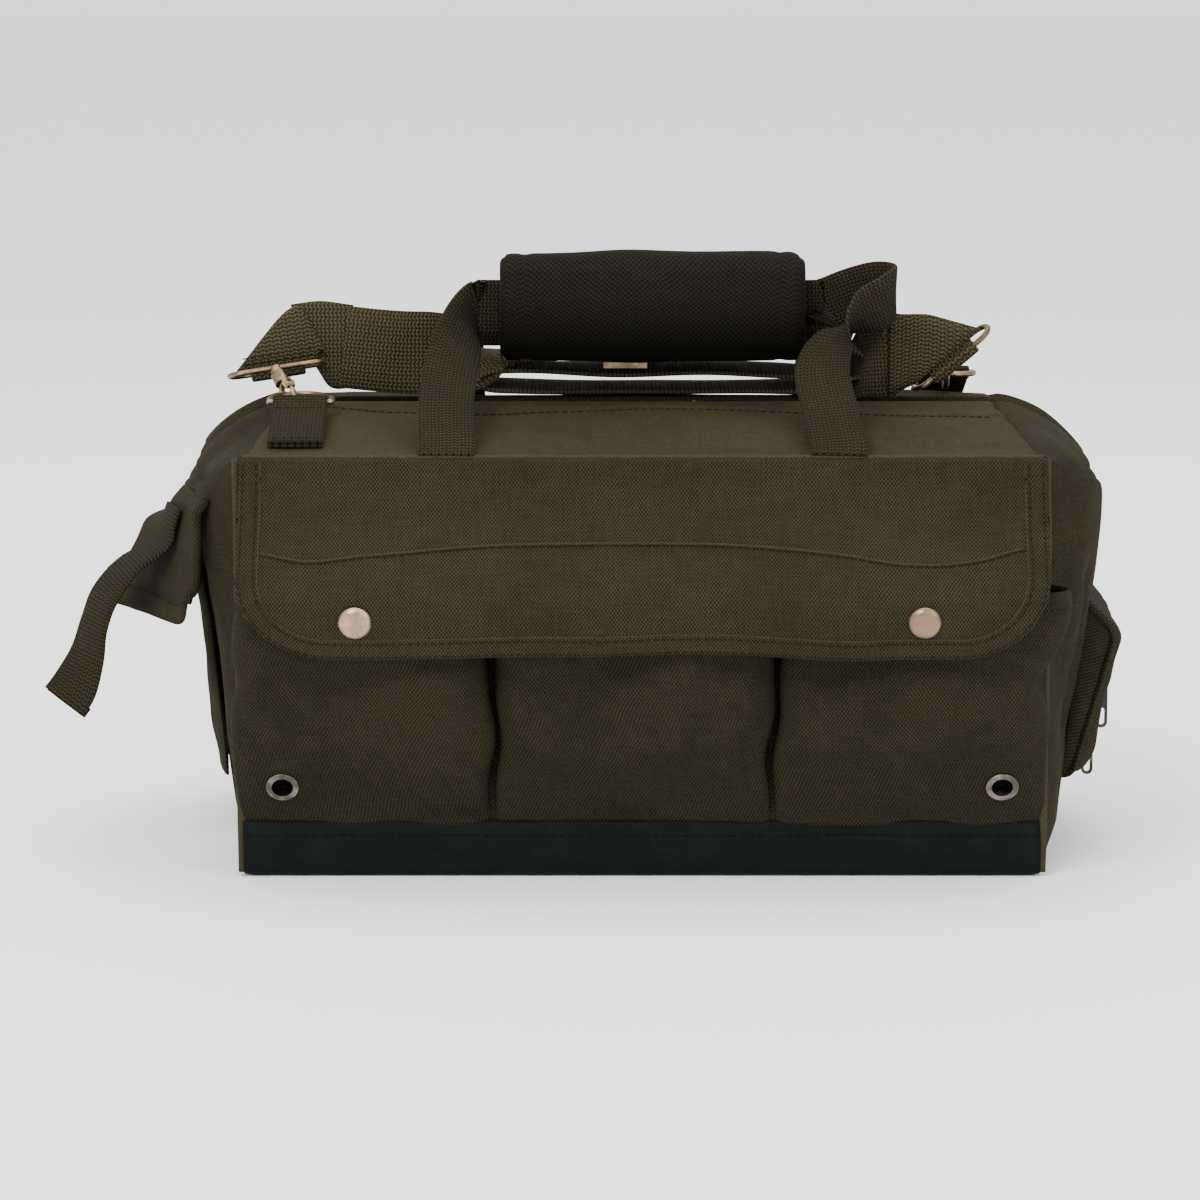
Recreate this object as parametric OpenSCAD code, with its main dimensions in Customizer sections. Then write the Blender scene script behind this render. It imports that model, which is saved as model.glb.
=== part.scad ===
// Canvas tool bag with front pockets under a flap, webbing handles in a grip wrap, a zipped pocket and
// a flapped pocket on its ends, and a clip-on shoulder strap folded on top.
// Millimetres. +X is right as the front is faced, +Y is towards the back, +Z is up.
// The origin is on the floor, in the middle of the base.

/* [Body] */
// Width between the front corner seams
body_w = 354; // [300:2:420]
// Depth over the base
body_d = 190; // [160:2:230]
// Height of the front and back walls
wall_h = 188; // [160:2:220]
// Rise of the crest beside the mouth above the walls
crest_rise = 14; // [8:1:20]
// How far the ends bulge beyond the corner seams
end_bulge = 24; // [16:1:32]
// Thickness of the canvas with its lining
canvas_t = 2; // [1.5:0.1:3]
// Height to which the coated base is turned up
base_turnup = 25; // [15:1:40]
// Thickness of the stiffener in the base
board_t = 3; // [2:0.5:5]

/* [Front pockets] */
// Depth of the pockets where they are fullest
pocket_bulge = 30; // [20:1:36]
// Height of the pockets' hems above the floor
pocket_top = 132; // [110:1:140]
// Height of the flap's lower edge above the floor
flap_bottom = 103; // [95:1:108]
// Radius of the flap's lower corners
flap_corner_r = 38; // [20:1:50]
// Outer diameter of the snap caps
snap_d = 15; // [10:0.5:18]
// Hole radius of the eyelets
eyelet_r = 4.75; // [3:0.25:6]

/* [Handles] */
// Width of the handle webbing
handle_webbing_w = 25; // [20:1:30]
// Thickness of the webbing
webbing_t = 2.4; // [1.8:0.1:3]
// Distance between the middles of a handle's legs
handle_spread = 172; // [150:2:200]
// Length of the grip wrap
wrap_l = 137; // [110:1:140]
// Height of the grip wrap
wrap_h = 35; // [31:1:40]
// Depth of the grip wrap
wrap_d = 22; // [16:1:24]

/* [Shoulder strap] */
// Width of the shoulder strap
strap_w = 38; // [30:1:40]
// Wire diameter of the rings and loops
wire_d = 2.6; // [2:0.1:3]
// Inner width of the D-rings
ring_inner_w = 25.4; // [22:0.2:28]

/* [Zips] */
// Length of the main zip's chain
main_zip_l = 308; // [260:2:320]
// Length of the end pocket's zip chain
end_zip_l = 62; // [50:1:64]
// Pitch of the zip teeth
tooth_pitch = 4; // [3:0.5:5]
// Length of the zip pulls
pull_l = 29; // [22:1:30]
// Width of the zip pulls
pull_w = 5.4; // [4:0.2:6]

/* [Hidden] */

$fn = 32;

// Clearances: between sewn pieces, between pieces of different bodies, and round a turning pin
sewn_gap = 0.2;
free_gap = 0.4;
pin_gap = 0.06;
// Overrun of a cut beyond the face that it opens
over = 1;

// Colours as the photo shows them
olive = [0.26, 0.24, 0.17];
olive_dark = [0.2, 0.19, 0.14];
olive_web = [0.22, 0.2, 0.15];
coated = [0.1, 0.12, 0.12];
brass = [0.55, 0.47, 0.34];
gunmetal = [0.22, 0.21, 0.2];
nickel = [0.7, 0.62, 0.53];

// Body outline: the base tray wraps the walls, so the walls stand inside it
tray_t = 1.5;
wall_y = body_d / 2 - tray_t;
half_w = body_w / 2;
crest_y = 12;
crest_z = wall_h + crest_rise;
floor_z = tray_t + sewn_gap;
shoulder_drop = 40;
shoulder_run = 40;
end_x = half_w + end_bulge;

// Hinge lines on top of the walls: the handles' seam above, the front flap's seam below
seam_r = webbing_t / 2;
flap_axis_y = wall_y + seam_r + free_gap;
flap_axis_z = wall_h - 2 * seam_r;
handle_axis_y = flap_axis_y;
handle_axis_z = flap_axis_z + 2 * seam_r + 2 * free_gap;

// Solid of a YZ outline, drawn as [y, z] points, along X
module along_x(points, length)
    translate([-length / 2, 0, 0])
        rotate([90, 0, 90])
            linear_extrude(length)
                polygon(points);

// Solid of an XZ outline along Y
module along_y(points, length)
    translate([0, length / 2, 0])
        rotate([90, 0, 0])
            linear_extrude(length)
                polygon(points);

// Stadium of a given length and width, in the XY plane
module stadium(length, width)
    union() {
        square([length - width, width], center = true);
        for (side = [-1, 1])
            translate([side * (length - width) / 2, 0])
                circle(d = width);
    }

// Both sides of an outline whose right half is given from bottom to top
function mirrored(half) = concat(half, [for (i = [len(half) - 1:-1:0]) [-half[i][0], half[i][1]]]);

// Outlines of the sewn body, drawn in by an inset
function side_outline(i) = mirrored([
    [wall_y - i, i], [wall_y - i, wall_h - i / 2], [crest_y, crest_z - i]
]);
end_bulge_shares = [[0, 0.3], [0.16, 0.5], [0.37, 0.72], [0.6, 0.9], [0.82, 1]];
function front_outline(i) = mirrored(concat(
    [for (s = end_bulge_shares) [half_w + s[1] * end_bulge - i, s[0] * wall_h + (s[0] == 0 ? i : 0)]],
    [[end_x - i, crest_z - shoulder_drop - i / 2], [end_x - shoulder_run - i, crest_z - i / 2],
     [end_x - shoulder_run - i, crest_z + crest_rise]]
));
plan_bulge_shares = [[1, 0.05], [0.86, 0.5], [0.6, 0.84], [0.28, 1]];
function plan_half(i) = [for (s = plan_bulge_shares) [half_w + s[1] * end_bulge - i, -s[0] * wall_y]];
function plan_outline(i) = let (h = plan_half(i)) mirrored(concat(
    [for (p = h) p], [for (k = [len(h) - 1:-1:0]) [h[k][0], -h[k][1]]]
));

// Everything inside the sewn body, drawn in by an inset
module body_form(i)
    intersection() {
        along_x(side_outline(i), 2 * end_x + 2 * over);
        along_y(front_outline(i), body_d);
        translate([0, 0, -over])
            linear_extrude(crest_z + 2 * over)
                polygon(plan_outline(i));
    }

// Part of the body between the corner seams and under the shoulders
module between_ends()
    along_y(front_outline(canvas_t + sewn_gap), body_d + 2 * over);

module base_panel() {
    color(coated)
        difference() {
            translate([-half_w, -body_d / 2, 0])
                cube([body_w, body_d, base_turnup]);
            translate([-half_w - over, -wall_y, tray_t])
                cube([body_w + 2 * over, 2 * wall_y, base_turnup]);
        }
}

module base_board() {
    margin = canvas_t + 2 * sewn_gap;
    color(coated)
        translate([0, 0, floor_z])
            linear_extrude(board_t)
                square([body_w - 2 * margin, 2 * (wall_y - margin)], center = true);
}

// A wall between the corner seams
module wall() {
    intersection() {
        translate([-half_w + sewn_gap, -wall_y, floor_z])
            cube([body_w - 2 * sewn_gap, canvas_t, wall_h - floor_z - sewn_gap]);
        between_ends();
    }
}

module front_panel() color(olive) wall();

module back_panel() color(olive) mirror([0, 1, 0]) wall();

// Top panel from a wall's seam up to the crest and down into the valley of the zip
valley_half = 9;
valley_drop = 8;
top_outline = [
    [-wall_y, wall_h], [-crest_y, crest_z], [-valley_half, crest_z - canvas_t / 2],
    [-valley_half, crest_z - valley_drop], [-valley_half - canvas_t, crest_z - valley_drop],
    [-valley_half - canvas_t, crest_z - 2 * canvas_t], [-wall_y + canvas_t, wall_h]
];
module top_panel()
    intersection() {
        along_x(top_outline, body_w - 2 * sewn_gap);
        between_ends();
    }

module top_front() color(olive) top_panel();

module top_back() color(olive) mirror([0, 1, 0]) top_panel();

// End gusset: the body's skin beyond the corner seams and over the shoulder
module end_panel(side)
    difference() {
        body_form(0);
        body_form(canvas_t);
        translate([-half_w, -body_d, -over])
            cube([body_w, 2 * body_d, floor_z + over + canvas_t + board_t]);
        intersection() {
            translate([-half_w, -body_d, 0])
                cube([body_w, 2 * body_d, 2 * crest_z]);
            along_y(front_outline(canvas_t), 2 * body_d);
        }
        translate([side > 0 ? -2 * end_x : 0, -body_d, -over])
            cube([2 * end_x, 2 * body_d, 2 * crest_z]);
        // Mouth of the zip's valley, with room for the sliders' way
        translate([-2 * end_x, -valley_half, crest_z - valley_drop])
            cube([4 * end_x, 2 * valley_half, 2 * valley_drop]);
    }

module left_end() color(olive) end_panel(-1);

module right_end() color(olive) end_panel(1);

// Zip chain: two rows of teeth on corded tapes, and sliders that run over both
tape_t = 1;
tooth_h = 3;
tooth_reach = 2;
cord_w = 1.4;
row_gap = 1.2;
tape_w = 14;
chain_half_w = row_gap / 2 + tooth_reach + cord_w;

// One row of teeth and its cord, along X on the +Y side
module tooth_row(length) {
    count = floor(length / tooth_pitch);
    translate([-count * tooth_pitch / 2, row_gap / 2, -tooth_h / 2])
        linear_extrude(tooth_h)
            polygon(concat(
                [[0, tooth_reach + cord_w]],
                [for (i = [0:count - 1], p = [[0, 1], [0.2, 1], [0.3, 0], [0.7, 0], [0.8, 1]])
                    [(i + p[0]) * tooth_pitch, p[1] * tooth_reach]],
                [[count * tooth_pitch, tooth_reach], [count * tooth_pitch, tooth_reach + cord_w]]
            ));
}

// Both rows, the second half a pitch along
module chain(length) {
    translate([tooth_pitch / 4, 0, 0])
        tooth_row(length - tooth_pitch);
    translate([-tooth_pitch / 4, 0, 0])
        mirror([0, 1, 0])
            tooth_row(length - tooth_pitch);
}

// The two tapes, which carry the rows at their inner edges
module tapes(length, width)
    for (side = [-1, 1])
        translate([0, side * (chain_half_w + sewn_gap + width / 2), 0])
            cube([length, width, tape_t], center = true);

// End stops across both rows
stop_l = 3;
module stops(length)
    for (side = [-1, 1])
        translate([side * (length / 2 + stop_l / 2), 0, 0])
            cube([stop_l, 2 * chain_half_w, tooth_h], center = true);

slider_l = 13;
slider_nose_w = 7.6;
slider_tail_w = 10.4;
plate_t = 1;
plate_gap = 0.3;
post_w = 0.6;
post_l = 5;
flange_t = 0.9;
plate_z = tooth_h / 2 + plate_gap;
pin_r = 0.8;
eye_w = 1.6;
cheek_t = 1;
cheek_r = 1.5;
eye_x = 4.4;
eye_z = plate_z + plate_t + pull_w / 2 + free_gap;

module slider_outline()
    polygon([
        [-slider_l / 2, slider_nose_w / 2], [-slider_l / 2, -slider_nose_w / 2],
        [0, -slider_tail_w / 2], [slider_l / 2, -slider_tail_w / 2],
        [slider_l / 2, slider_tail_w / 2], [0, slider_tail_w / 2]
    ]);

// Slider on a chain along X with its outer side up; its pull turns on a pin along Y
module zip_slider() {
    difference() {
        for (side = [0, 1])
            mirror([0, 0, side])
                translate([0, 0, tape_t / 2 + plate_gap])
                    linear_extrude(plate_z + plate_t - tape_t / 2 - plate_gap)
                        slider_outline();
        cube([2 * slider_l, slider_tail_w - 2 * flange_t, 2 * plate_z], center = true);
    }
    cube([post_l, post_w, 2 * plate_z + plate_t], center = true);
    for (side = [-1, 1])
        translate([0, side * (eye_w / 2 + pin_gap + cheek_t / 2), 0])
            rotate([90, 0, 0])
                union() {
                    translate([eye_x, eye_z, 0])
                        cylinder(r = cheek_r, h = cheek_t, center = true);
                    translate([eye_x, (eye_z + plate_z) / 2, 0])
                        cube([2 * cheek_r, eye_z - plate_z, cheek_t], center = true);
                }
    translate([eye_x, 0, eye_z])
        rotate([90, 0, 0])
            cylinder(r = pin_r, h = eye_w + 2 * cheek_t, center = true);
}

// Flat outline of a pull: round ends, an eye at the origin and a slot at the far end
slot_l = 8;
module pull_outline()
    difference() {
        translate([pull_l / 2 - pull_w / 2, 0])
            stadium(pull_l, pull_w);
        translate([pull_l - pull_w / 2 - slot_l / 2 - pull_w / 4, 0])
            stadium(slot_l, pull_w / 2);
    }

// Pull whose eye runs through its flat, so that it swings in its own plane
module pull_swinging()
    rotate([90, 0, 0])
        linear_extrude(eye_w, center = true)
            difference() {
                pull_outline();
                circle(r = pin_r + pin_gap);
            }

// Pull whose eye runs across it, so that it lifts off the slider
neck_l = cheek_r + free_gap;
eye_wall = 0.7;
module pull_lifting()
    difference() {
        union() {
            rotate([90, 0, 0])
                cylinder(r = pin_r + eye_wall, h = eye_w, center = true);
            translate([neck_l, 0, -eye_w / 2])
                linear_extrude(eye_w)
                    translate([pull_w / 2, 0])
                        pull_outline();
            translate([neck_l / 2, 0, 0])
                cube([neck_l + 2 * free_gap, eye_w, eye_w], center = true);
        }
        rotate([90, 0, 0])
            cylinder(r = pin_r + pin_gap, h = 2 * eye_w, center = true);
    }

// Main zip, in the valley between the crests
main_zip_z = crest_z - valley_drop - sewn_gap - tape_t / 2;
main_slider_x = 20;
module main_zip_tapes() color(olive_dark)
    translate([0, 0, main_zip_z])
        tapes(main_zip_l + 2 * stop_l, tape_w - chain_half_w);
module main_zip_teeth() color(brass)
    translate([0, 0, main_zip_z])
        chain(main_zip_l);
module main_zip_stops() color(brass)
    translate([0, 0, main_zip_z])
        stops(main_zip_l);
module main_slider(side)
    translate([side * main_slider_x, 0, main_zip_z])
        rotate([0, 0, side > 0 ? 0 : 180])
            zip_slider();
module main_pull(side)
    translate([side * main_slider_x, 0, main_zip_z])
        rotate([0, 0, side > 0 ? 0 : 180])
            translate([eye_x, 0, eye_z])
                pull_lifting();
module main_slider_left() color(brass) main_slider(-1);
module main_slider_right() color(brass) main_slider(1);
module main_pull_left() color(gunmetal) main_pull(-1);
module main_pull_right() color(gunmetal) main_pull(1);

// Right end pocket: a box of canvas whose outer face leans in towards its foot, with the zip down its middle
end_pocket_half_d = 52;
end_pocket_top_z = 102;
end_pocket_foot_z = 36;
end_pocket_depth = 17.5;
end_pocket_top_x = half_w + end_bulge + end_pocket_depth;
end_pocket_lid_rise = 20;
end_pocket_lid_z = end_pocket_top_z + end_pocket_lid_rise;
face_lean = 16;
function face_x(z) = end_pocket_top_x - (end_pocket_top_z - z) * tan(face_lean);
end_zip_z = (end_pocket_top_z + end_pocket_foot_z) / 2;
upper_slider_s = -10.5;
lower_slider_s = 12.5;

// The end panel's outer side at a height, as the outline gives it
function lookup_share(z) = lookup(z / wall_h, end_bulge_shares);
function end_face_x(z) = half_w + lookup_share(z) * end_bulge + free_gap;
swell_z = wall_h * end_bulge_shares[2][0];
full_z = wall_h * end_bulge_shares[3][0];

// Places a child that is drawn on a chain along X onto the end pocket's face, +X downwards
module on_end_face()
    translate([face_x(end_zip_z), 0, end_zip_z])
        rotate([0, 90 + face_lean, 0])
            children();

module end_pocket_outline(i)
    polygon([
        [end_face_x(end_pocket_foot_z) + i, end_pocket_foot_z + i],
        [face_x(end_pocket_foot_z + i) - i, end_pocket_foot_z + i],
        [face_x(end_pocket_top_z - i / 2) - i, end_pocket_top_z - i / 2],
        [end_face_x(end_pocket_lid_z), end_pocket_lid_z - 1.5 * i],
        [end_face_x(end_pocket_top_z) + i, end_pocket_top_z],
        [end_face_x(swell_z) + i, swell_z]
    ]);

module end_pocket_right() color(olive)
    difference() {
        rotate([90, 0, 0])
            linear_extrude(2 * end_pocket_half_d, center = true)
                end_pocket_outline(0);
        rotate([90, 0, 0])
            linear_extrude(2 * (end_pocket_half_d - canvas_t), center = true)
                end_pocket_outline(canvas_t);
        on_end_face()
            cube([end_zip_l + 2 * sewn_gap, 2 * tape_w - 4 * tape_t, 6 * canvas_t], center = true);
    }
module end_zip_tapes() color(olive_dark)
    on_end_face()
        translate([0, 0, -canvas_t - sewn_gap - tape_t / 2])
            tapes(end_zip_l, tape_w - chain_half_w);
module end_zip_teeth() color(brass)
    on_end_face()
        translate([0, 0, -canvas_t - sewn_gap - tape_t / 2]) {
            chain(end_zip_l - 2 * stop_l);
            stops(end_zip_l - 2 * stop_l);
        }
module end_slider(s)
    on_end_face()
        translate([s, 0, -canvas_t - sewn_gap - tape_t / 2])
            zip_slider();
module end_pull(s)
    on_end_face()
        translate([s + eye_x, 0, eye_z - canvas_t - sewn_gap - tape_t / 2])
            rotate([0, -face_lean, 0])
                pull_swinging();
module end_slider_upper() color(brass) end_slider(upper_slider_s);
module end_slider_lower() color(brass) end_slider(lower_slider_s);
module end_pull_upper() color(gunmetal) end_pull(upper_slider_s);
module end_pull_lower() color(gunmetal) end_pull(lower_slider_s);

// Front pockets: three pouches that bulge over the base, split where the pleats are
left_split_share = -66 / 177;
right_split_share = 58 / 177;
pleat_gap = 3;
pocket_foot = base_turnup + sewn_gap;
pocket_span = pocket_top - pocket_foot;
// Outward share of the bulge at shares of the height; the first stretch is straight and carries the eyelets
pocket_shares = [[0, 0.054], [0.34, 0.648], [0.5, 0.76], [0.7, 0.85], [0.88, 0.96], [1, 1]];
function pocket_points(i) = concat(
    [[-wall_y - sewn_gap, pocket_foot + i], [-wall_y - sewn_gap, pocket_top + over * sign(i)]],
    [for (k = [len(pocket_shares) - 1:-1:0])
        [-wall_y - sewn_gap - lookup(pocket_shares[k][0] + (k == 0 ? i / pocket_span : 0), pocket_shares)
             * pocket_bulge + i,
         pocket_foot + pocket_shares[k][0] * pocket_span
             + (k == 0 ? i : 0) + (k == len(pocket_shares) - 1 ? over * sign(i) : 0)]]
);
function pocket_slope() = atan(
    (pocket_shares[1][1] - pocket_shares[0][1]) * pocket_bulge / (pocket_shares[1][0] * pocket_span)
);

// Pouch between two places across the front, open at the top and closed behind by the front wall
module pouch(x0, x1) {
    difference() {
        translate([(x0 + x1) / 2, 0, 0])
            along_x(pocket_points(0), x1 - x0);
        for (y = [0, over])
            translate([(x0 + x1) / 2, y, 0])
                along_x(pocket_points(canvas_t), x1 - x0 - 2 * canvas_t);
    }
}

// Eyelets low on the outer pockets: flange, barrel through the canvas, and washer behind
eyelet_inset = 18;
eyelet_share = 0.16;
eyelet_wall = 0.7;
eyelet_flange_r = eyelet_r + 2.6;
eyelet_flange_t = 0.9;
eyelet_z = pocket_foot + eyelet_share * pocket_span;
eyelet_y = -wall_y - sewn_gap - pocket_bulge * lookup(eyelet_share, pocket_shares);
canvas_normal_t = canvas_t * cos(pocket_slope());
module on_pocket(side)
    translate([side * (half_w - eyelet_inset), eyelet_y, eyelet_z])
        rotate([90 + pocket_slope(), 0, 0])
            children();
module eyelet_hole(side)
    on_pocket(side)
        cylinder(r = eyelet_r + eyelet_wall + sewn_gap / 2, h = 4 * canvas_t, center = true);
module eyelet(side)
    on_pocket(side)
        rotate_extrude()
            union() {
                translate([eyelet_r, -canvas_normal_t - sewn_gap / 2 - eyelet_flange_t])
                    square([eyelet_wall, canvas_normal_t + sewn_gap + 2 * eyelet_flange_t]);
                translate([eyelet_r + eyelet_wall / 2, sewn_gap / 2])
                    square([
                        eyelet_flange_r - eyelet_r - eyelet_wall / 2 - eyelet_flange_t / 2, eyelet_flange_t
                    ]);
                translate([eyelet_flange_r - eyelet_flange_t / 2, sewn_gap / 2 + eyelet_flange_t / 2])
                    circle(d = eyelet_flange_t);
                translate([eyelet_r + eyelet_wall / 2, -canvas_normal_t - sewn_gap / 2 - eyelet_flange_t])
                    square([eyelet_flange_r - eyelet_r - eyelet_wall, eyelet_flange_t]);
            }
module eyelet_left() color(nickel) eyelet(-1);
module eyelet_right() color(nickel) eyelet(1);

// Stud of a snap on the pockets, under the cap that the flap carries
snap_left_share = -125 / 177;
snap_right_share = 122 / 177;
snap_z_share = 0.2;
stud_r = 3;
stud_h = 1.4;
module stud_hole(share)
    on_pocket_at_snap(share)
        cylinder(r = stud_r / 2 + sewn_gap / 2, h = 4 * canvas_t, center = true);
snap_z = flap_bottom + snap_z_share * (wall_h - flap_bottom);
function pocket_out(z) = pocket_bulge * lookup((z - pocket_foot) / pocket_span, pocket_shares);
slope_span = 2;
snap_slope = atan((pocket_out(snap_z - slope_span) - pocket_out(snap_z + slope_span)) / (2 * slope_span));
module on_pocket_at_snap(share)
    translate([share * half_w, -wall_y - sewn_gap - pocket_out(snap_z), snap_z])
        rotate([90 - snap_slope, 0, 0])
            children();
module snap_studs() color(nickel)
    for (share = [snap_left_share, snap_right_share])
        on_pocket_at_snap(share) {
            translate([0, 0, sewn_gap])
                cylinder(r = stud_r, h = stud_h);
            translate([0, 0, -canvas_t - 2 * sewn_gap])
                cylinder(r = stud_r / 2, h = canvas_t + 3 * sewn_gap + over / 2);
            translate([0, 0, -canvas_t - 2 * sewn_gap - stud_h / 2])
                cylinder(r = stud_r, h = stud_h / 2);
        }

module pocket_left() color(olive_dark)
    difference() {
        pouch(-half_w, left_split_share * half_w - pleat_gap / 2);
        eyelet_hole(-1);
        stud_hole(snap_left_share);
    }
module pocket_middle() color(olive_dark)
    pouch(left_split_share * half_w + pleat_gap / 2, right_split_share * half_w - pleat_gap / 2);
module pocket_right() color(olive_dark)
    difference() {
        pouch(right_split_share * half_w + pleat_gap / 2, half_w);
        eyelet_hole(1);
        stud_hole(snap_right_share);
    }

// Front flap: hangs from its seam and stands off the full pockets at its foot
flap_air = 4.5;
flap_stand_off = pocket_bulge + flap_air;
flap_drop = flap_axis_z - flap_bottom;
// Outward share of the stand-off at shares of the drop, from the seam down; it is fullest over the mouths
flap_shares = [
    [0, 0.02], [0.1, 0.08], [0.28, 0.28], [0.44, 0.58], [0.58, 0.87], [0.68, 0.99], [0.76, 1], [0.88, 0.955],
    [1, 0.88]
];
flap_t = canvas_t;
hem_w = 9;
function flap_y(s) = -wall_y - free_gap - flap_t / 2 - s * flap_stand_off;
function flap_points(near, far) = concat(
    [for (s = flap_shares) [flap_y(s[1]) - near, flap_axis_z - s[0] * flap_drop]],
    [for (k = [len(flap_shares) - 1:-1:0])
        [flap_y(flap_shares[k][1]) - far, flap_axis_z - flap_shares[k][0] * flap_drop]]
);
lean_share = 0.08;
function flap_lean(z) = let (
    s = (flap_axis_z - z) / flap_drop,
    rise = lookup(s + lean_share, flap_shares) - lookup(s - lean_share, flap_shares)
) atan(rise * flap_stand_off / (2 * lean_share * flap_drop));

// Face of the flap: straight sides and round lower corners
module flap_face(inset) {
    r = flap_corner_r - inset;
    intersection() {
        union() {
            translate([-half_w + inset, flap_bottom + flap_corner_r])
                square([body_w - 2 * inset, flap_drop]);
            translate([-half_w + flap_corner_r, flap_bottom + inset])
                square([body_w - 2 * flap_corner_r, flap_corner_r + over]);
            for (side = [-1, 1])
                translate([side * (half_w - flap_corner_r), flap_bottom + flap_corner_r])
                    circle(r = r, $fn = 64);
        }
        translate([-body_w, 0])
            square([2 * body_w, flap_axis_z + (inset > 0 ? over : 0)]);
    }
}
module across_y(length)
    rotate([90, 0, 0])
        linear_extrude(length, center = true)
            children();
module on_flap(share, z)
    translate([share * half_w, flap_y(lookup((flap_axis_z - z) / flap_drop, flap_shares)) - flap_t / 2, z])
        rotate([90 - flap_lean(z), 0, 0])
            children();
snap_shank_r = 2;
module front_flap() color(olive)
    difference() {
        union() {
            intersection() {
                along_x(flap_points(-flap_t / 2, flap_t / 2), body_w + 2 * over);
                across_y(4 * body_d)
                    flap_face(0);
            }
            translate([0, -flap_axis_y, flap_axis_z])
                rotate([0, 90, 0])
                    cylinder(r = seam_r, h = body_w, center = true);
        }
        for (share = [snap_left_share, snap_right_share])
            on_flap(share, snap_z)
                cylinder(r = snap_shank_r + sewn_gap / 2, h = 6 * flap_t, center = true);
    }

// Doubled hem round the flap's free edges
hem_t = 0.7;
module flap_band() color(olive)
    intersection() {
        along_x(flap_points(flap_t / 2 + sewn_gap / 2, flap_t / 2 + hem_t), body_w + 2 * over);
        across_y(4 * body_d)
            difference() {
                flap_face(0);
                flap_face(hem_w);
            }
        translate([-body_w, -2 * body_d, 0])
            cube([2 * body_w, 4 * body_d, flap_axis_z - 2 * seam_r]);
    }

// Snap caps: domed cap outside, shank through the flap, socket behind
cap_h = 1.6;
socket_r = 4.4;
socket_t = 1;
module snap_caps() color(nickel)
    for (share = [snap_left_share, snap_right_share])
        on_flap(share, snap_z) {
            rotate_extrude()
                intersection() {
                    translate([0, cap_h + sewn_gap - snap_d])
                        circle(r = snap_d, $fn = 96);
                    translate([0, sewn_gap])
                        square([snap_d / 2, cap_h]);
                }
            translate([0, 0, -flap_t - 2 * sewn_gap - socket_t / 2])
                cylinder(r = snap_shank_r, h = flap_t + 3 * sewn_gap + socket_t);
            translate([0, 0, -flap_t - 2 * sewn_gap - socket_t])
                cylinder(r = socket_r, h = socket_t);
        }

// Webbing swept along stations of a centre point and a width direction, each smoothed between stations
function unit(v) = v / norm(v);
function eased(a, b, c, d, t) =
    b + t * (c - a + t * (2 * a - 5 * b + 4 * c - d + t * (3 * b - a - 3 * c + d))) / 2;
function smoothed(p, steps) = concat(
    [for (i = [0:len(p) - 2], k = [0:steps - 1])
        eased(p[max(i - 1, 0)], p[i], p[i + 1], p[min(i + 2, len(p) - 1)], k / steps)],
    [p[len(p) - 1]]
);
module webbing(stations, width, thickness, steps) {
    c = smoothed([for (s = stations) s[0]], steps);
    w = smoothed([for (s = stations) s[1]], steps);
    last = len(c) - 1;
    rings = [for (i = [0:last])
        let (
            t = unit(c[min(i + 1, last)] - c[max(i - 1, 0)]),
            u = unit(w[i] - (w[i] * t) * t) * width / 2,
            n = unit(cross(t, u)) * thickness / 2
        )
        each [c[i] + u + n, c[i] - u + n, c[i] - u - n, c[i] + u - n]];
    faces = concat(
        [[0, 1, 2], [0, 2, 3]],
        [for (i = [0:last - 1], k = [0:3]) let (a = 4 * i + k, b = 4 * i + (k + 1) % 4)
            each [[b + 4, b, a], [a + 4, b + 4, a]]],
        [[4 * last + 2, 4 * last + 1, 4 * last], [4 * last + 3, 4 * last + 2, 4 * last]]
    );
    polyhedron(rings, faces, convexity = 10);
}

// Grip line of each handle, over the mouth of the bag
front_grip_y = -14;
front_grip_rise = 43;
front_grip_z = crest_z + front_grip_rise;
back_grip_y = 1.6;
back_grip_rise = 36;
back_grip_z = crest_z + back_grip_rise;
wrap_x = 5;

// Places on a handle, as shares of half its spread and of the way from its seam up to its grip
function on_handle(shares, side, grip_y, grip_z) = [
    shares[0] * handle_spread / 2,
    side * handle_axis_y + shares[1] * (grip_y - side * handle_axis_y),
    handle_axis_z + shares[2] * (grip_z - handle_axis_z)
];
front_handle_shares = [
    [[-1, 0, 0], [1, 0, 0]], [[-1, 0.08, 0.08], [1, 0, 0]], [[-1.01, 0.34, 0.34], [1, 0, 0]],
    [[-0.97, 0.64, 0.64], [0.9, -0.25, 0.35]],
    [[-0.92, 0.84, 0.84], [0.45, -0.45, 0.8]], [[-0.89, 0.97, 0.96], [0.1, -0.3, 0.95]],
    [[-0.82, 1, 1], [0, 0, 1]], [[-0.77, 1, 1], [0, 0, 1]], [[0, 1, 1], [0, 0, 1]], [[0.9, 1, 1], [0, 0, 1]],
    [[0.97, 1, 1], [0, 0, 1]], [[1.1, 0.98, 1.04], [0, -0.1, 1]], [[1.22, 0.94, 1.04], [0, -0.1, 1]],
    [[1.27, 0.86, 1.02], [0, 0, 1]], [[1.21, 0.78, 0.99], [0.1, -0.15, 1]],
    [[1.09, 0.74, 0.9], [0.45, -0.3, 0.85]], [[0.98, 0.69, 0.77], [0.9, -0.3, 0.4]],
    [[0.94, 0.55, 0.58], [1, -0.1, 0.1]], [[0.97, 0.28, 0.3], [1, 0, 0]], [[1, 0.07, 0.08], [1, 0, 0]],
    [[1, 0, 0], [1, 0, 0]]
];
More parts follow.
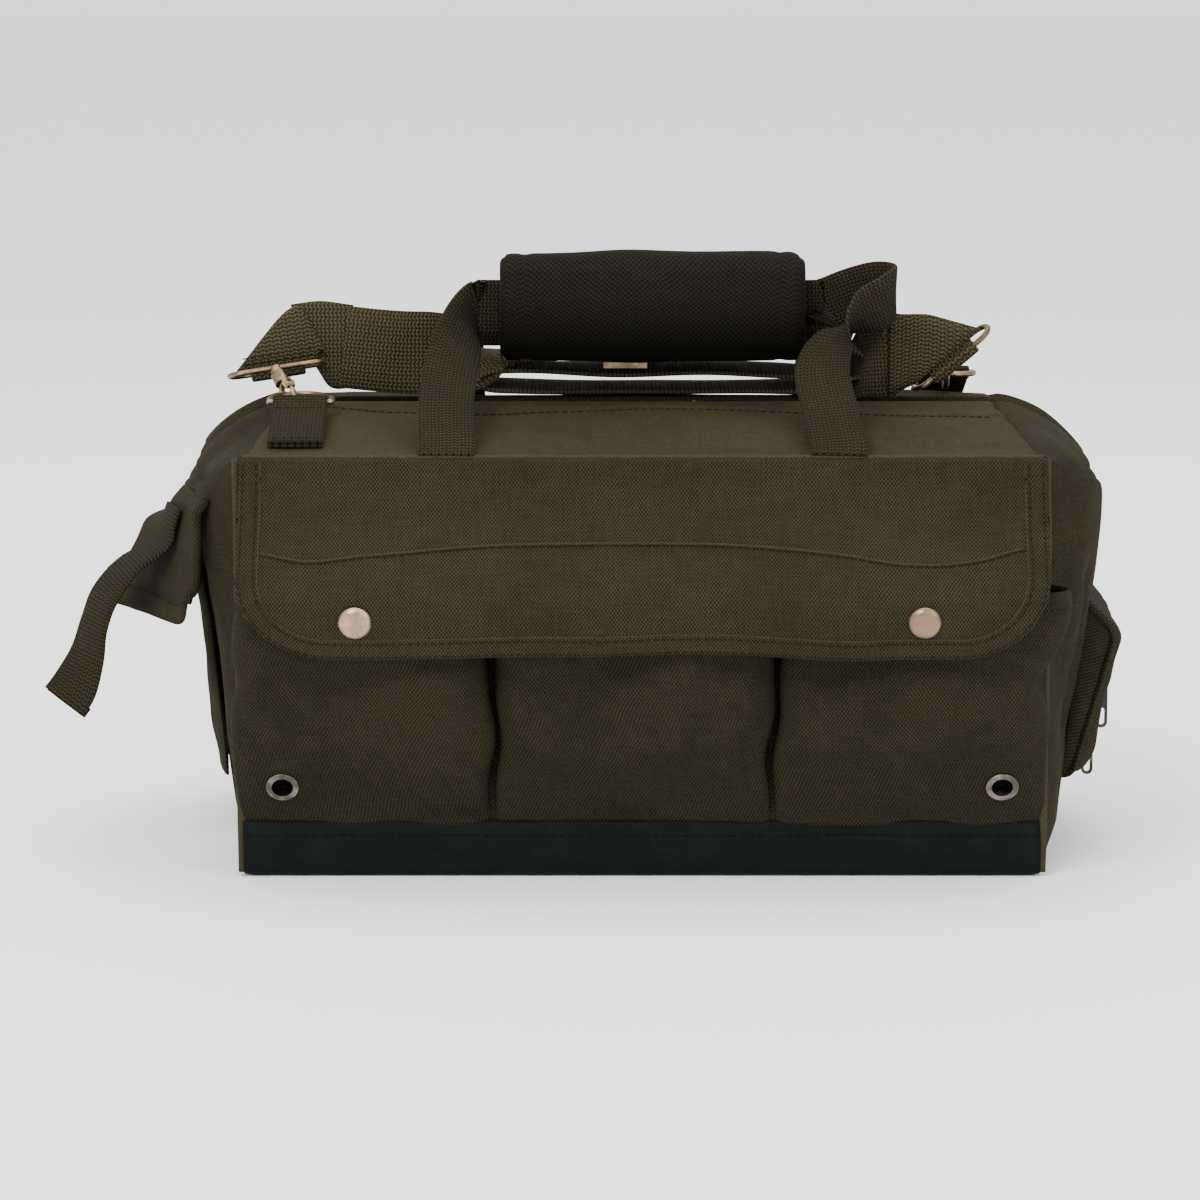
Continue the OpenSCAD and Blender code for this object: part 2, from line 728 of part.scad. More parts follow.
back_handle_shares = [
    [[-1, 0, 0], [1, 0, 0]], [[-1, 0.17, 0.33], [1, 0, 0]], [[-1, 0.42, 0.69], [1, 0, 0]],
    [[-1.01, 0.7, 0.91], [0.85, 0.3, 0.5]], [[-0.99, 0.9, 0.98], [0.3, 0.3, 0.9]],
    [[-0.9, 0.99, 1], [0, 0.1, 1]], [[-0.82, 1, 1], [0, 0, 1]], [[0, 1, 1], [0, 0, 1]],
    [[0.9, 1, 1], [0, 0, 1]], [[0.99, 0.98, 1], [0, 0.1, 1]], [[1.07, 0.88, 0.98], [0.3, 0.3, 0.9]],
    [[1.06, 0.68, 0.9], [0.85, 0.3, 0.5]], [[1.01, 0.42, 0.69], [1, 0, 0]],
    [[1, 0.17, 0.33], [1, 0, 0]], [[1, 0, 0], [1, 0, 0]]
];
// Rolled ends of a handle, on its seam
foot_r = seam_r + sewn_gap;
module handle_feet(side)
    for (end = [-1, 1])
        translate([end * handle_spread / 2, side * handle_axis_y, handle_axis_z])
            rotate([0, 90, 0])
                cylinder(r = foot_r, h = handle_webbing_w, center = true);
module front_handle() color(olive_web) {
    handle_feet(-1);
    webbing([for (s = front_handle_shares) [on_handle(s[0], -1, front_grip_y, front_grip_z), s[1]]],
        handle_webbing_w, webbing_t, 3);
}
module back_handle() color(olive_web) {
    handle_feet(1);
    webbing([for (s = back_handle_shares) [on_handle(s[0], 1, back_grip_y, back_grip_z), s[1]]],
        handle_webbing_w, webbing_t, 3);
}

// Wrap closed round the front handle's webbing
module grip_wrap() color(olive_web)
    translate([wrap_x - wrap_l / 2, front_grip_y, front_grip_z])
        rotate([90, 0, 90])
            linear_extrude(wrap_l)
                difference() {
                    rotate(90)
                        stadium(wrap_h, wrap_d);
                    square([webbing_t + free_gap, handle_webbing_w + free_gap], center = true);
                }

// Tabs of folded webbing on the top panels, each with a D-ring in its fold
tab_w = ring_inner_w - 2 * free_gap;
tab_t = 3.6;
tab_l_left = 41;
tab_l_right = 50;
tab_lift = 20;
tab_left_inset = 24;
tab_right_inset = 36;
tab_x_left = half_w - tab_left_inset;
tab_x_right = half_w - tab_right_inset;
tab_foot_inset = 10;
tab_foot_y = wall_y - tab_foot_inset;
panel_rise = crest_rise / (wall_y - crest_y);
tab_foot_z = wall_h + (wall_y - tab_foot_y) * panel_rise + 2 * sewn_gap;
wire_r = wire_d / 2;
tab_loop_r = wire_r + pin_gap + webbing_t;

// Places a child that is drawn for the left front corner at either strap corner
module at_corner(side)
    rotate([0, 0, side < 0 ? 0 : 180])
        translate([side < 0 ? -tab_x_left : -tab_x_right, -tab_foot_y, tab_foot_z])
            children();
function tab_l(side) = side < 0 ? tab_l_left : tab_l_right;
function bar_point(side) = [
    0, tab_l(side) * cos(tab_lift) - tab_t / 2 * sin(tab_lift),
    tab_l(side) * sin(tab_lift) + tab_t / 2 * cos(tab_lift)
];
module on_bar(side)
    translate(bar_point(side))
        children();
module tab(side)
    at_corner(side)
        difference() {
            union() {
                rotate([tab_lift, 0, 0])
                    translate([-tab_w / 2, 0, 0])
                        cube([tab_w, tab_l(side) - tab_loop_r / 2, tab_t]);
                on_bar(side)
                    rotate([0, 90, 0])
                        cylinder(r = tab_loop_r, h = tab_w, center = true);
            }
            on_bar(side)
                rotate([0, 90, 0])
                    cylinder(r = wire_r + pin_gap, h = 2 * tab_w, center = true);
        }
module tab_left() color(olive_web) tab(-1);
module tab_right() color(olive_web) tab(1);

// D-ring: a bar, short legs and a half round, lying back from its tab
ring_r = ring_inner_w / 2 + wire_r;
ring_leg = 4.5;
ring_lift = 4;
module half_torus(r, wire, from, sweep)
    rotate([0, 0, from])
        rotate_extrude(angle = sweep)
            translate([r, 0])
                circle(r = wire);
module ring_frame(side)
    at_corner(side)
        on_bar(side)
            rotate([ring_lift, 0, 0])
                children();
module d_ring(side)
    ring_frame(side) {
        rotate([0, 90, 0])
            cylinder(r = wire_r, h = 2 * ring_r, center = true);
        for (s = [-1, 1])
            translate([s * ring_r, 0, 0]) {
                sphere(r = wire_r);
                rotate([-90, 0, 0])
                    cylinder(r = wire_r, h = ring_leg);
            }
        translate([0, ring_leg, 0])
            half_torus(ring_r, wire_r, 0, 180);
    }
module ring_left() color(brass) d_ring(-1);
module ring_right() color(brass) d_ring(1);

// Swivel snap hook hung on the round of the ring: its plane is square to the wire there
hook_angle_left = 120;
hook_angle_right = 90;
function hook_angle(side) = side < 0 ? hook_angle_left : hook_angle_right;
hook_tilt = -52;
hook_wire = 1.4;
hook_r = 5;
hook_leg = 3.5;
hook_y = -0.7;
hook_z = -2.5;
barrel_r = 3.4;
barrel_h = 6;
barrel_floor = 1.4;
head_r = 2.4;
head_h = 1.4;
post_r = 1.5;
barrel_z = hook_z + hook_leg + hook_r;
module hook_frame(side)
    ring_frame(side)
        translate([ring_r * cos(hook_angle(side)), ring_leg + ring_r * sin(hook_angle(side)), 0])
            rotate([0, 0, hook_angle(side) - 90])
                rotate([hook_tilt, 0, 0])
                    children();
// Turns an arc drawn in XY into the hook's own YZ plane
module upright() rotate([90, 0, 90]) children();
gate_eye_r = 1.8;
gate_pin_r = 0.6;
gate_eye_w = 2;
gate_cheek_t = 0.9;
gate_r = 1;
gate_z = hook_z + hook_leg;
gate_y = hook_y - hook_r;
gate_cut = 38;
module hook(side)
    hook_frame(side) {
        translate([0, hook_y, hook_z])
            upright()
                half_torus(hook_r, hook_wire, 180, 180);
        translate([0, hook_y + hook_r, hook_z])
            cylinder(r = hook_wire, h = hook_leg);
        translate([0, hook_y, gate_z])
            upright()
                half_torus(hook_r, hook_wire, 0, 180 - gate_cut);
        // Cheeks that hold the gate's pin
        for (s = [-1, 1])
            translate([s * (gate_eye_w / 2 + pin_gap + gate_cheek_t / 2), gate_y, gate_z])
                rotate([0, 90, 0]) {
                    cylinder(r = gate_eye_r, h = gate_cheek_t, center = true);
                    rotate([0, 0, -gate_cut / 2])
                        translate([-gate_eye_r * 1.2, 0, 0])
                            cube([gate_eye_r * 2.4, gate_eye_r * 1.6, gate_cheek_t], center = true);
                }
        translate([0, gate_y, gate_z])
            rotate([0, 90, 0])
                cylinder(r = gate_pin_r, h = gate_eye_w + 2 * gate_cheek_t, center = true);
        translate([0, hook_y, barrel_z])
            difference() {
                cylinder(r = barrel_r, h = barrel_h);
                translate([0, 0, barrel_floor])
                    cylinder(r = head_r + 2 * pin_gap, h = head_h + 2 * pin_gap);
                translate([0, 0, barrel_floor])
                    cylinder(r = post_r + pin_gap, h = barrel_h);
            }
    }
module hook_left() color(brass) hook(-1);
module hook_right() color(brass) hook(1);

// Spring gate, from its pin down to the hook's tip
module gate(side)
    hook_frame(side)
        translate([0, gate_y, gate_z])
            difference() {
                union() {
                    rotate([0, 90, 0])
                        cylinder(r = gate_eye_r - 2 * pin_gap, h = gate_eye_w, center = true);
                    translate([0, 0, -hook_leg + free_gap])
                        cylinder(r = gate_r, h = hook_leg - free_gap - gate_pin_r);
                }
                rotate([0, 90, 0])
                    cylinder(r = gate_pin_r + pin_gap, h = 2 * gate_eye_w, center = true);
            }
module gate_left() color(brass) gate(-1);
module gate_right() color(brass) gate(1);

// Turns of a point, to follow the hooks' frames from the bag's own
function rot_x(v, a) = [v.x, v.y * cos(a) - v.z * sin(a), v.y * sin(a) + v.z * cos(a)];
function rot_y(v, a) = [v.x * cos(a) + v.z * sin(a), v.y, v.z * cos(a) - v.x * sin(a)];
function rot_z(v, a) = [v.x * cos(a) - v.y * sin(a), v.x * sin(a) + v.y * cos(a), v.z];
function corner_point(p, side) = let (
    q = p + [side < 0 ? -tab_x_left : -tab_x_right, -tab_foot_y, tab_foot_z]
) side < 0 ? q : [-q.x, -q.y, q.z];
function hook_point(p, side) = bar_point(side) + rot_x(
    [ring_r * cos(hook_angle(side)), ring_leg + ring_r * sin(hook_angle(side)), 0]
        + rot_z(rot_x(p, hook_tilt), hook_angle(side) - 90),
    ring_lift
);

// Strap loop: a flat oval of wire on a post that turns in the hook's barrel
collar_h = 3.4;
collar_r = 2.6;
loop_l = strap_w + 2 * wire_d;
loop_w = 13;
loop_drop = -12;
loop_roll_left = -9;
loop_roll_right = 40;
collar_z = barrel_z + barrel_h + free_gap / 2;
loop_z = collar_z + collar_h;
function loop_roll(side) = side < 0 ? loop_roll_left : loop_roll_right;
// Middle of the loop's far bar, which holds the strap
function strap_bar(side) = corner_point(
    hook_point([0, hook_y, loop_z], side)
        + rot_y([0, loop_w * cos(loop_drop), loop_w * sin(loop_drop)], loop_roll(side)),
    side
);
module loop_frame(side)
    at_corner(side)
        translate(hook_point([0, hook_y, loop_z], side))
            rotate([0, loop_roll(side), 0])
                children();
module strap_loop(side) {
    hook_frame(side)
        translate([0, hook_y, 0]) {
            translate([0, 0, collar_z])
                cylinder(r = collar_r, h = collar_h);
            translate([0, 0, barrel_z + barrel_floor + pin_gap + head_h / 2])
                cylinder(r = post_r, h = barrel_h - barrel_floor + free_gap);
            translate([0, 0, barrel_z + barrel_floor + pin_gap])
                cylinder(r = head_r, h = head_h);
        }
    loop_frame(side)
        rotate([loop_drop, 0, 0]) {
            for (y = [0, loop_w])
                translate([0, y, 0])
                    rotate([0, 90, 0])
                        cylinder(r = wire_r, h = loop_l - loop_w, center = true);
            for (s = [-1, 1])
                translate([s * (loop_l - loop_w) / 2, loop_w / 2, 0])
                    half_torus(loop_w / 2, wire_r, s > 0 ? -90 : 90, 180);
        }
}
module strap_loop_left() color(brass) strap_loop(-1);
module strap_loop_right() color(brass) strap_loop(1);

// Places over the bag's top, as shares of its half width and depth and of the strap's width above the crest
function over_top(s) = [s.x * half_w, s.y * wall_y, crest_z + s.z * strap_w];

// Sewn end of the strap round a loop's bar: a sleeve on the bar, and webbing that leads to the cut
sleeve_w = strap_w - loop_w;
sleeve_r = wire_r + 2 * pin_gap + webbing_t;
module strap_sleeve(side)
    loop_frame(side)
        rotate([loop_drop, 0, 0])
            translate([0, loop_w, 0])
                rotate([0, 90, 0])
                    difference() {
                        cylinder(r = sleeve_r, h = sleeve_w, center = true);
                        cylinder(r = wire_r + pin_gap, h = strap_w, center = true);
                    }
// Where the sewn ends stop and the folded strap goes on, as shares of the half width
left_cut_share = -0.76;
left_cut_y_share = -0.072;
left_cut_rise = 0.632;
right_cut_share = 0.667;
cut_gap_share = 0.013;
right_cut_y_share = -0.055;
right_cut_rise = 0.53;
module strap_end_left() color(olive_web) {
    b = strap_bar(-1);
    along = [cos(loop_roll_left), -sin(loop_roll_left)];
    root = [b.x, b.z] + [-along.y, along.x] * (sleeve_r + sewn_gap);
    cut = over_top([left_cut_share - cut_gap_share / 2, left_cut_y_share, left_cut_rise]);
    neck_x = root.x + strap_w * 0.61;
    strap_sleeve(-1);
    // Folded on the slant above the loop, flat against itself
    translate([0, b.y, 0])
        rotate([90, 0, 0])
            linear_extrude(webbing_t, center = true)
                polygon([
                    root - along * strap_w / 2, root + along * strap_w / 2, [neck_x, root.y + strap_w * 0.07],
                    [neck_x, cut.z - strap_w / 2], [cut.x, cut.z - strap_w / 2], [cut.x, cut.z + strap_w / 2],
                    root + [strap_w * 0.27, strap_w * 0.75]
                ]);
}
module strap_end_right() color(olive_web) {
    b = strap_bar(1);
    along = [cos(loop_roll_right), sin(loop_roll_right)];
    root = [b.x, b.z] + [-along.y, along.x] * (sleeve_r + sewn_gap);
    cut = over_top([right_cut_share + cut_gap_share / 2, right_cut_y_share, right_cut_rise]);
    strap_sleeve(1);
    translate([0, b.y, 0])
        rotate([90, 0, 0])
            linear_extrude(webbing_t, center = true)
                polygon([
                    root - along * strap_w / 2, root + along * strap_w / 2,
                    root + [-strap_w / 4, strap_w / 2],
                    [cut.x, cut.z + strap_w / 2], [cut.x, cut.z - strap_w / 2]
                ]);
}

// The rest of the strap, folded on the top in three layers with a rolled turn at the right
strap_shares = [
    [[left_cut_share + cut_gap_share, left_cut_y_share, left_cut_rise], [0, 0, 1]],
    [[-0.71, -0.06, 0.615], [0, 0.1, 1]], [[-0.66, 0, 0.52], [0, 0.45, 0.88]],
    [[-0.61, 0.12, 0.42], [0, 0.8, 0.55]], [[-0.56, 0.21, 0.35], [0, 0.98, 0.2]],
    [[-0.5, 0.25, 0.36], [0, 1, 0]], [[-0.34, 0.25, 0.435], [0, 1, 0]], [[-0.11, 0.25, 0.46], [0, 1, 0]],
    [[0.11, 0.25, 0.45], [0, 1, 0]], [[0.34, 0.25, 0.475], [0, 1, 0]], [[0.48, 0.25, 0.55], [0, 1, 0]],
    [[0.55, 0.25, 0.55], [0, 1, 0]], [[0.595, 0.25, 0.41], [0, 1, 0]], [[0.575, 0.25, 0.225], [0, 1, 0]],
    [[0.52, 0.25, 0.18], [0, 1, 0]], [[0.4, 0.25, 0.235], [0, 1, 0]], [[0.17, 0.25, 0.285], [0, 1, 0]],
    [[-0.11, 0.25, 0.26], [0, 1, 0]], [[-0.34, 0.25, 0.285], [0, 1, 0]], [[-0.4, 0.25, 0.25], [0, 1, 0]],
    [[-0.42, 0.25, 0.165], [0, 1, 0]], [[-0.4, 0.25, 0.08], [0, 1, 0]], [[-0.31, 0.25, 0.055], [0, 1, 0]],
    [[0, 0.25, 0.055], [0, 1, 0]], [[0.34, 0.25, 0.055], [0, 1, 0]], [[0.5, 0.25, 0.05], [0, 1, 0]],
    [[0.53, 0.25, 0.09], [0, 1, 0.03]], [[0.56, 0.19, 0.35], [0, 0.88, 0.47]],
    [[0.585, 0.05, 0.47], [0, 0.4, 0.92]],
    [[right_cut_share - 3 * cut_gap_share, right_cut_y_share, right_cut_rise], [0, 0, 1]],
    [[right_cut_share - cut_gap_share / 2, right_cut_y_share, right_cut_rise], [0, 0, 1]]
];
module shoulder_strap() color(olive_web)
    webbing([for (s = strap_shares) [over_top(s[0]), s[1]]], strap_w, webbing_t, 3);

// Adjuster under the strap's top layer: a frame with a middle bar
glide_margin = 3.5;
glide_w = strap_w + 2 * glide_margin;
glide_l = 20;
glide_bar = 2.6;
glide_x_share = -0.04;
glide_z = crest_z + 0.46 * strap_w - webbing_t / 2 - glide_bar - free_gap;
module tri_glide() color(brass)
    translate([glide_x_share * half_w, 0.25 * wall_y, glide_z])
        linear_extrude(glide_bar)
            difference() {
                square([glide_l, glide_w], center = true);
                for (s = [-1, 1])
                    translate([s * (glide_l - glide_bar) / 4, 0])
                        square([(glide_l - 3 * glide_bar) / 2, glide_w - 2 * glide_bar], center = true);
            }

// Left end: an open patch pocket, closed behind by the end panel, and its flap with a tie strap
left_pocket_half_d = 42;
left_pocket_foot_z = 34;
left_pocket_top_z = 136;
left_pocket_depth = 11;
left_pocket_mouth = 9.5;
function left_pocket_points(i) = [
    [-end_face_x(left_pocket_foot_z) - i, left_pocket_foot_z + i],
    [-end_face_x(left_pocket_foot_z) - left_pocket_mouth + i, left_pocket_foot_z + i],
    [-end_face_x(swell_z) - left_pocket_depth + i, swell_z],
    [-end_face_x(left_pocket_top_z) - left_pocket_mouth + i, left_pocket_top_z + over * sign(i)],
    [-end_face_x(left_pocket_top_z) - i, left_pocket_top_z + over * sign(i)],
    [-end_face_x(full_z) - i, full_z],
    [-end_face_x(swell_z) - i, swell_z]
];
module end_pocket_left() color(olive_dark)
    difference() {
        along_y(left_pocket_points(0), 2 * left_pocket_half_d);
        for (x = [0, over + canvas_t])
            translate([x, 0, 0])
                along_y(left_pocket_points(canvas_t), 2 * (left_pocket_half_d - canvas_t));
    }

// The flap is sewn where the end turns towards the front, so it is turned with the end's plan there
end_flap_turn = 16;
end_flap_axis_x = -seam_r - free_gap;
end_flap_axis_z = crest_z - shoulder_drop;
end_flap_w = 84;
end_flap_shift = 6;
end_flap_drop = 50;
end_flap_reach = 26;
end_flap_shares = [[0, 0.02], [0.2, 0.26], [0.45, 0.5], [0.75, 0.8], [1, 1]];
module on_end_turn()
    translate([-half_w - plan_bulge_shares[2][1] * end_bulge, -plan_bulge_shares[2][0] * wall_y, 0])
        rotate([0, 0, end_flap_turn])
            translate([0, end_flap_shift, 0])
                children();
function end_flap_points(near, far) = concat(
    [for (s = end_flap_shares) on_end_flap(s[0], near)],
    [for (k = [len(end_flap_shares) - 1:-1:0]) on_end_flap(end_flap_shares[k][0], far)]
);
module end_flap() color(olive)
    on_end_turn() {
        along_y(end_flap_points(-canvas_t / 2, canvas_t / 2), end_flap_w);
        translate([end_flap_axis_x, 0, end_flap_axis_z])
            rotate([90, 0, 0])
                cylinder(r = seam_r, h = end_flap_w, center = true);
    }
function on_end_flap(s, off) = [
    end_flap_axis_x - lookup(s, end_flap_shares) * end_flap_reach - off, end_flap_axis_z - s * end_flap_drop
];
// Places of the tie strap below its sewn start, and its width directions
strap_tail_shares = [
    [[0.62, 0.02, -0.286], [-0.08, 0.98, 0.1]], [[1.05, 0.02, -0.56], [-0.12, 0.97, 0.12]],
    [[1.477, 0.03, -0.828], [-0.2, 0.95, 0.2]], [[1.685, 0.03, -1.1], [-0.25, 0.94, 0.15]],
    [[1.81, 0.03, -1.368], [-0.4, 0.88, 0.15]], [[2.03, 0.03, -1.64], [-0.6, 0.75, 0.3]],
    [[2.215, 0.03, -1.778], [-0.63, 0.7, 0.35]]
];
module end_flap_strap() color(olive_web) {
    off = canvas_t + webbing_t / 2;
    start = on_end_flap(0.08, off);
    on_end_turn()
        webbing(concat(
            [[[start.x, 0.02 * end_flap_w, start.y], [0, 1, 0]]],
            [for (s = strap_tail_shares)
                [[end_flap_axis_x - s[0][0] * end_flap_reach - off, s[0][1] * end_flap_w,
                  end_flap_axis_z + s[0][2] * end_flap_drop], s[1]]]
        ), handle_webbing_w, webbing_t, 3);
}

base_panel();
base_board();
front_panel();
back_panel();
left_end();
right_end();
top_front();
top_back();
main_zip_tapes();
main_zip_teeth();
main_zip_stops();
pocket_left();
pocket_middle();
pocket_right();
snap_studs();
eyelet_left();
eyelet_right();
tab_left();
tab_right();
end_pocket_right();
end_zip_tapes();
end_zip_teeth();
end_pocket_left();
front_flap();
flap_band();
snap_caps();
front_handle();
grip_wrap();
back_handle();
main_slider_left();
main_slider_right();
main_pull_left();
main_pull_right();
end_slider_upper();
end_slider_lower();
end_pull_upper();
end_pull_lower();
ring_left();
ring_right();
strap_loop_left();
strap_loop_right();
hook_left();
hook_right();
gate_left();
gate_right();
strap_end_left();
strap_end_right();
shoulder_strap();
tri_glide();
end_flap();
end_flap_strap();
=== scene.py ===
"""Visual model of a canvas tool bag: cloth, webbing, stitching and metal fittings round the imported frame."""
import math

import bpy
import numpy as np
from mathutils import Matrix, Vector
from mathutils.kdtree import KDTree


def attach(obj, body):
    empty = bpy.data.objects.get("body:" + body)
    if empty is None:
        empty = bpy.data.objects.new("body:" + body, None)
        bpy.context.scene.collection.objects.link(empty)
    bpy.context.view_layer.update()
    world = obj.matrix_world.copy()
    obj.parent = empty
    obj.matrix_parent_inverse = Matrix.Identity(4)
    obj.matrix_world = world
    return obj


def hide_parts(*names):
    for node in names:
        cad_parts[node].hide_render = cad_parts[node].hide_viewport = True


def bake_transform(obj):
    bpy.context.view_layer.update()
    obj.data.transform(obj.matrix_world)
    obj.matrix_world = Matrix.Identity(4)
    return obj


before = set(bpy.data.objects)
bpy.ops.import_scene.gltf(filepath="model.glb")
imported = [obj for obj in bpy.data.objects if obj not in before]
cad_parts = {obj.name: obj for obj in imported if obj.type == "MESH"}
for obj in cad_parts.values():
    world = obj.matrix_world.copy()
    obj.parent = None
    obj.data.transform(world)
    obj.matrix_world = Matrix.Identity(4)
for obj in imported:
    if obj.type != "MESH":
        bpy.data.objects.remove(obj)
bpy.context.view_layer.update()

# Sizes are in millimetres, as in the part, and meshes are scaled to metres when they are made
MM = 0.001

# Body of the bag
HALF_W = 177.0
HALF_D = 95.0
WALL_Y = 93.5
WALL_H = 188.0
CREST_Y = 12.0
CREST_Z = 202.0
END_BULGE = 24.0
BASE_UP = 25.0
CANVAS = 2.0
VALLEY = 9.0
VALLEY_DROP = 8.0

# Webbing
WEB_T = 2.4
HANDLE_W = 25.0
STRAP_W = 38.0

# Share of a sheet's thickness by which each side draws in at its edge
EDGE_ROUND = 0.28

# Radii of the cords in the seams, and of the thicker threads
CORNER_SEAM = 1.9
END_SEAM = 1.6
TOP_SEAM = 1.3
FLAP_SEAM = 0.75
HEM_SEAM = 0.55
BOLD_THREAD = 0.4

# Camera, at the photograph's angle
VIEW_TARGET = Vector((-18.7, -95.0, 124.4)) * MM
VIEW_WIDTH = 528.6 * MM
VIEW_DISTANCE = 2.0
ELEVATION = math.radians(10.0)
SENSOR = 36.0

# Studio in metres: each light's place, width and power, and the point that all of them face
LIGHTS = {
    "key_light": ((-0.9, -1.6, 1.9), 1.3, 52.0),
    "fill_light": ((1.5, -1.2, 1.1), 1.4, 12.0),
    "top_light": ((0.1, 0.5, 2.0), 1.8, 26.0),
}
LIT_POINT = Vector((0, 0, 0.1))
FLOOR_SIZE = 16.0
FLOOR_Z = -0.0005
FLOOR_COLOUR = (0.97, 0.97, 0.97, 1)
SKY_STRENGTH = 1.6


def link(obj):
    bpy.context.scene.collection.objects.link(obj)
    return obj


def make_camera():
    data = bpy.data.cameras.new("camera")
    data.sensor_width = SENSOR
    data.lens = data.sensor_width * VIEW_DISTANCE / VIEW_WIDTH
    data.clip_start = 0.05
    camera = link(bpy.data.objects.new("camera", data))
    camera.location = VIEW_TARGET - VIEW_DISTANCE * Vector((0, math.cos(ELEVATION), -math.sin(ELEVATION)))
    camera.rotation_euler = (math.radians(90.0) - ELEVATION, 0, 0)
    bpy.context.scene.camera = camera


def make_studio():
    """A pale floor under one large soft light, two fill lights and a pale sky."""
    bpy.ops.mesh.primitive_plane_add(size=FLOOR_SIZE, location=(0, 0.0, FLOOR_Z))
    floor = bpy.context.object
    floor.name = "floor"
    material = bpy.data.materials.new("floor")
    material.use_nodes = True
    shader = material.node_tree.nodes["Principled BSDF"]
    shader.inputs["Base Color"].default_value = FLOOR_COLOUR
    shader.inputs["Roughness"].default_value = 0.7
    floor.data.materials.append(material)
    world = bpy.data.worlds.new("studio")
    world.use_nodes = True
    sky = world.node_tree.nodes["Background"]
    sky.inputs["Color"].default_value = (1, 1, 1, 1)
    sky.inputs["Strength"].default_value = SKY_STRENGTH
    bpy.context.scene.world = world
    for name, (place, size, power) in LIGHTS.items():
        data = bpy.data.lights.new(name, "AREA")
        data.shape = "DISK"
        data.size = size
        data.energy = power
        light = link(bpy.data.objects.new(name, data))
        light.location = place
        light.rotation_euler = (LIT_POINT - Vector(place)).to_track_quat("-Z", "Y").to_euler()


make_camera()
make_studio()


# Curves and unevenness
def ripple(points, wavelength, seed, stretch=(1.0, 1.0, 1.0), waves=14):
    """Smooth values of about -1 to 1 at points, the same for each seed."""
    rng = np.random.default_rng(seed)
    directions = rng.normal(size=(waves, 3))
    directions /= np.linalg.norm(directions, axis=1)[:, None]
    lengths = wavelength * rng.uniform(0.7, 1.5, waves)
    phases = rng.uniform(0, 2 * np.pi, waves)
    scaled = np.asarray(points, float) / np.array(stretch)
    total = np.zeros(scaled.shape[:-1])
    for d, length, phase in zip(directions, lengths, phases):
        total += np.sin(2 * np.pi * (scaled @ d) / length + phase)
    return total / math.sqrt(waves)


def ripples(points, *waves):
    """Sum of ripples, each given by its height, wavelength, seed and, where it has one, its stretch."""
    return sum(height * ripple(points, *rest) for height, *rest in waves)


def smooth(edge0, edge1, x):
    t = np.clip((np.asarray(x, float) - edge0) / (edge1 - edge0), 0, 1)
    return t * t * (3 - 2 * t)


def between(x, a, b, c, d):
    """1 from b to c, falling to 0 at a and at d."""
    return smooth(a, b, x) * smooth(d, c, x)


def bell(x, width):
    """Soft hump of height 1 at 0."""
    return np.exp(-(x / width) ** 2)


def arch(share):
    """0 at both ends of the shares from 0 to 1, and 1 in their middle."""
    return np.sin(np.clip(share, 0, 1) * math.pi)


def rounded(turn_part, power):
    """Sine or cosine drawn out towards the corners of a rounded box."""
    return np.sign(turn_part) * np.abs(turn_part) ** power


def follow(pairs, x):
    """Values of a soft curve through (place, value) pairs."""
    places, values = np.array(pairs, float).T
    x = np.asarray(x, float)
    slopes = np.gradient(values, places)
    i = np.clip(np.searchsorted(places, x) - 1, 0, len(places) - 2)
    h = places[i + 1] - places[i]
    t = np.clip((x - places[i]) / h, 0, 1)
    a = 2 * t**3 - 3 * t**2 + 1
    b = t**3 - 2 * t**2 + t
    c = -2 * t**3 + 3 * t**2
    d = t**3 - t**2
    return a * values[i] + b * h * slopes[i] + c * values[i + 1] + d * h * slopes[i + 1]


def straight(pairs, x):
    """Values of a broken line through (place, value) pairs."""
    return np.interp(x, *zip(*pairs))


# Points, paths and grids
def points_at(x, y, z):
    """Points out of three coordinates, which are broadcast to one shape."""
    return np.stack(np.broadcast_arrays(*(np.asarray(v, float) for v in (x, y, z))), axis=-1)


def unit(v):
    return v / np.maximum(np.linalg.norm(v, axis=-1, keepdims=True), 1e-9)


def distances(path):
    """Distance along a path at each of its points."""
    return np.concatenate([[0], np.cumsum(np.linalg.norm(np.diff(path, axis=0), axis=1))])


def resample(path, step):
    """Points at even distances along a path, with the values that go with them."""
    path = np.asarray(path, float)
    lengths = distances(path[:, :3])
    places = np.linspace(0, lengths[-1], max(int(round(lengths[-1] / step)), 1) + 1)
    return np.stack([np.interp(places, lengths, column) for column in path.T], axis=1)


def rounded_line(points, radius, steps):
    """Polyline in a plane with its corners rounded."""
    points = [np.asarray(p, float) for p in points]
    out = [points[0]]
    for a, b, c in zip(points[:-2], points[1:-1], points[2:]):
        reach = min(radius, np.linalg.norm(a - b) * 0.45, np.linalg.norm(c - b) * 0.45)
        start, end = b + unit(a - b) * reach, b + unit(c - b) * reach
        for t in np.linspace(0, 1, steps):
            out.append((1 - t) ** 2 * start + 2 * t * (1 - t) * b + t**2 * end)
    out.append(points[-1])
    return np.array(out)


def grid_normals(grid, wrap_u=False):
    """Normals of a grid of points, on the side that the second direction crossed with the first faces."""
    du = np.roll(grid, -1, axis=0) - np.roll(grid, 1, axis=0) if wrap_u else np.gradient(grid, axis=0)
    return unit(np.cross(du, np.gradient(grid, axis=1)))


def surface_normals(surface, a, b, step=0.5):
    """Outward normals of surface(a, b), found from its neighbours."""
    da = surface(a + step, b) - surface(a - step, b)
    db = surface(a, b + step) - surface(a, b - step)
    return unit(np.cross(da, db))


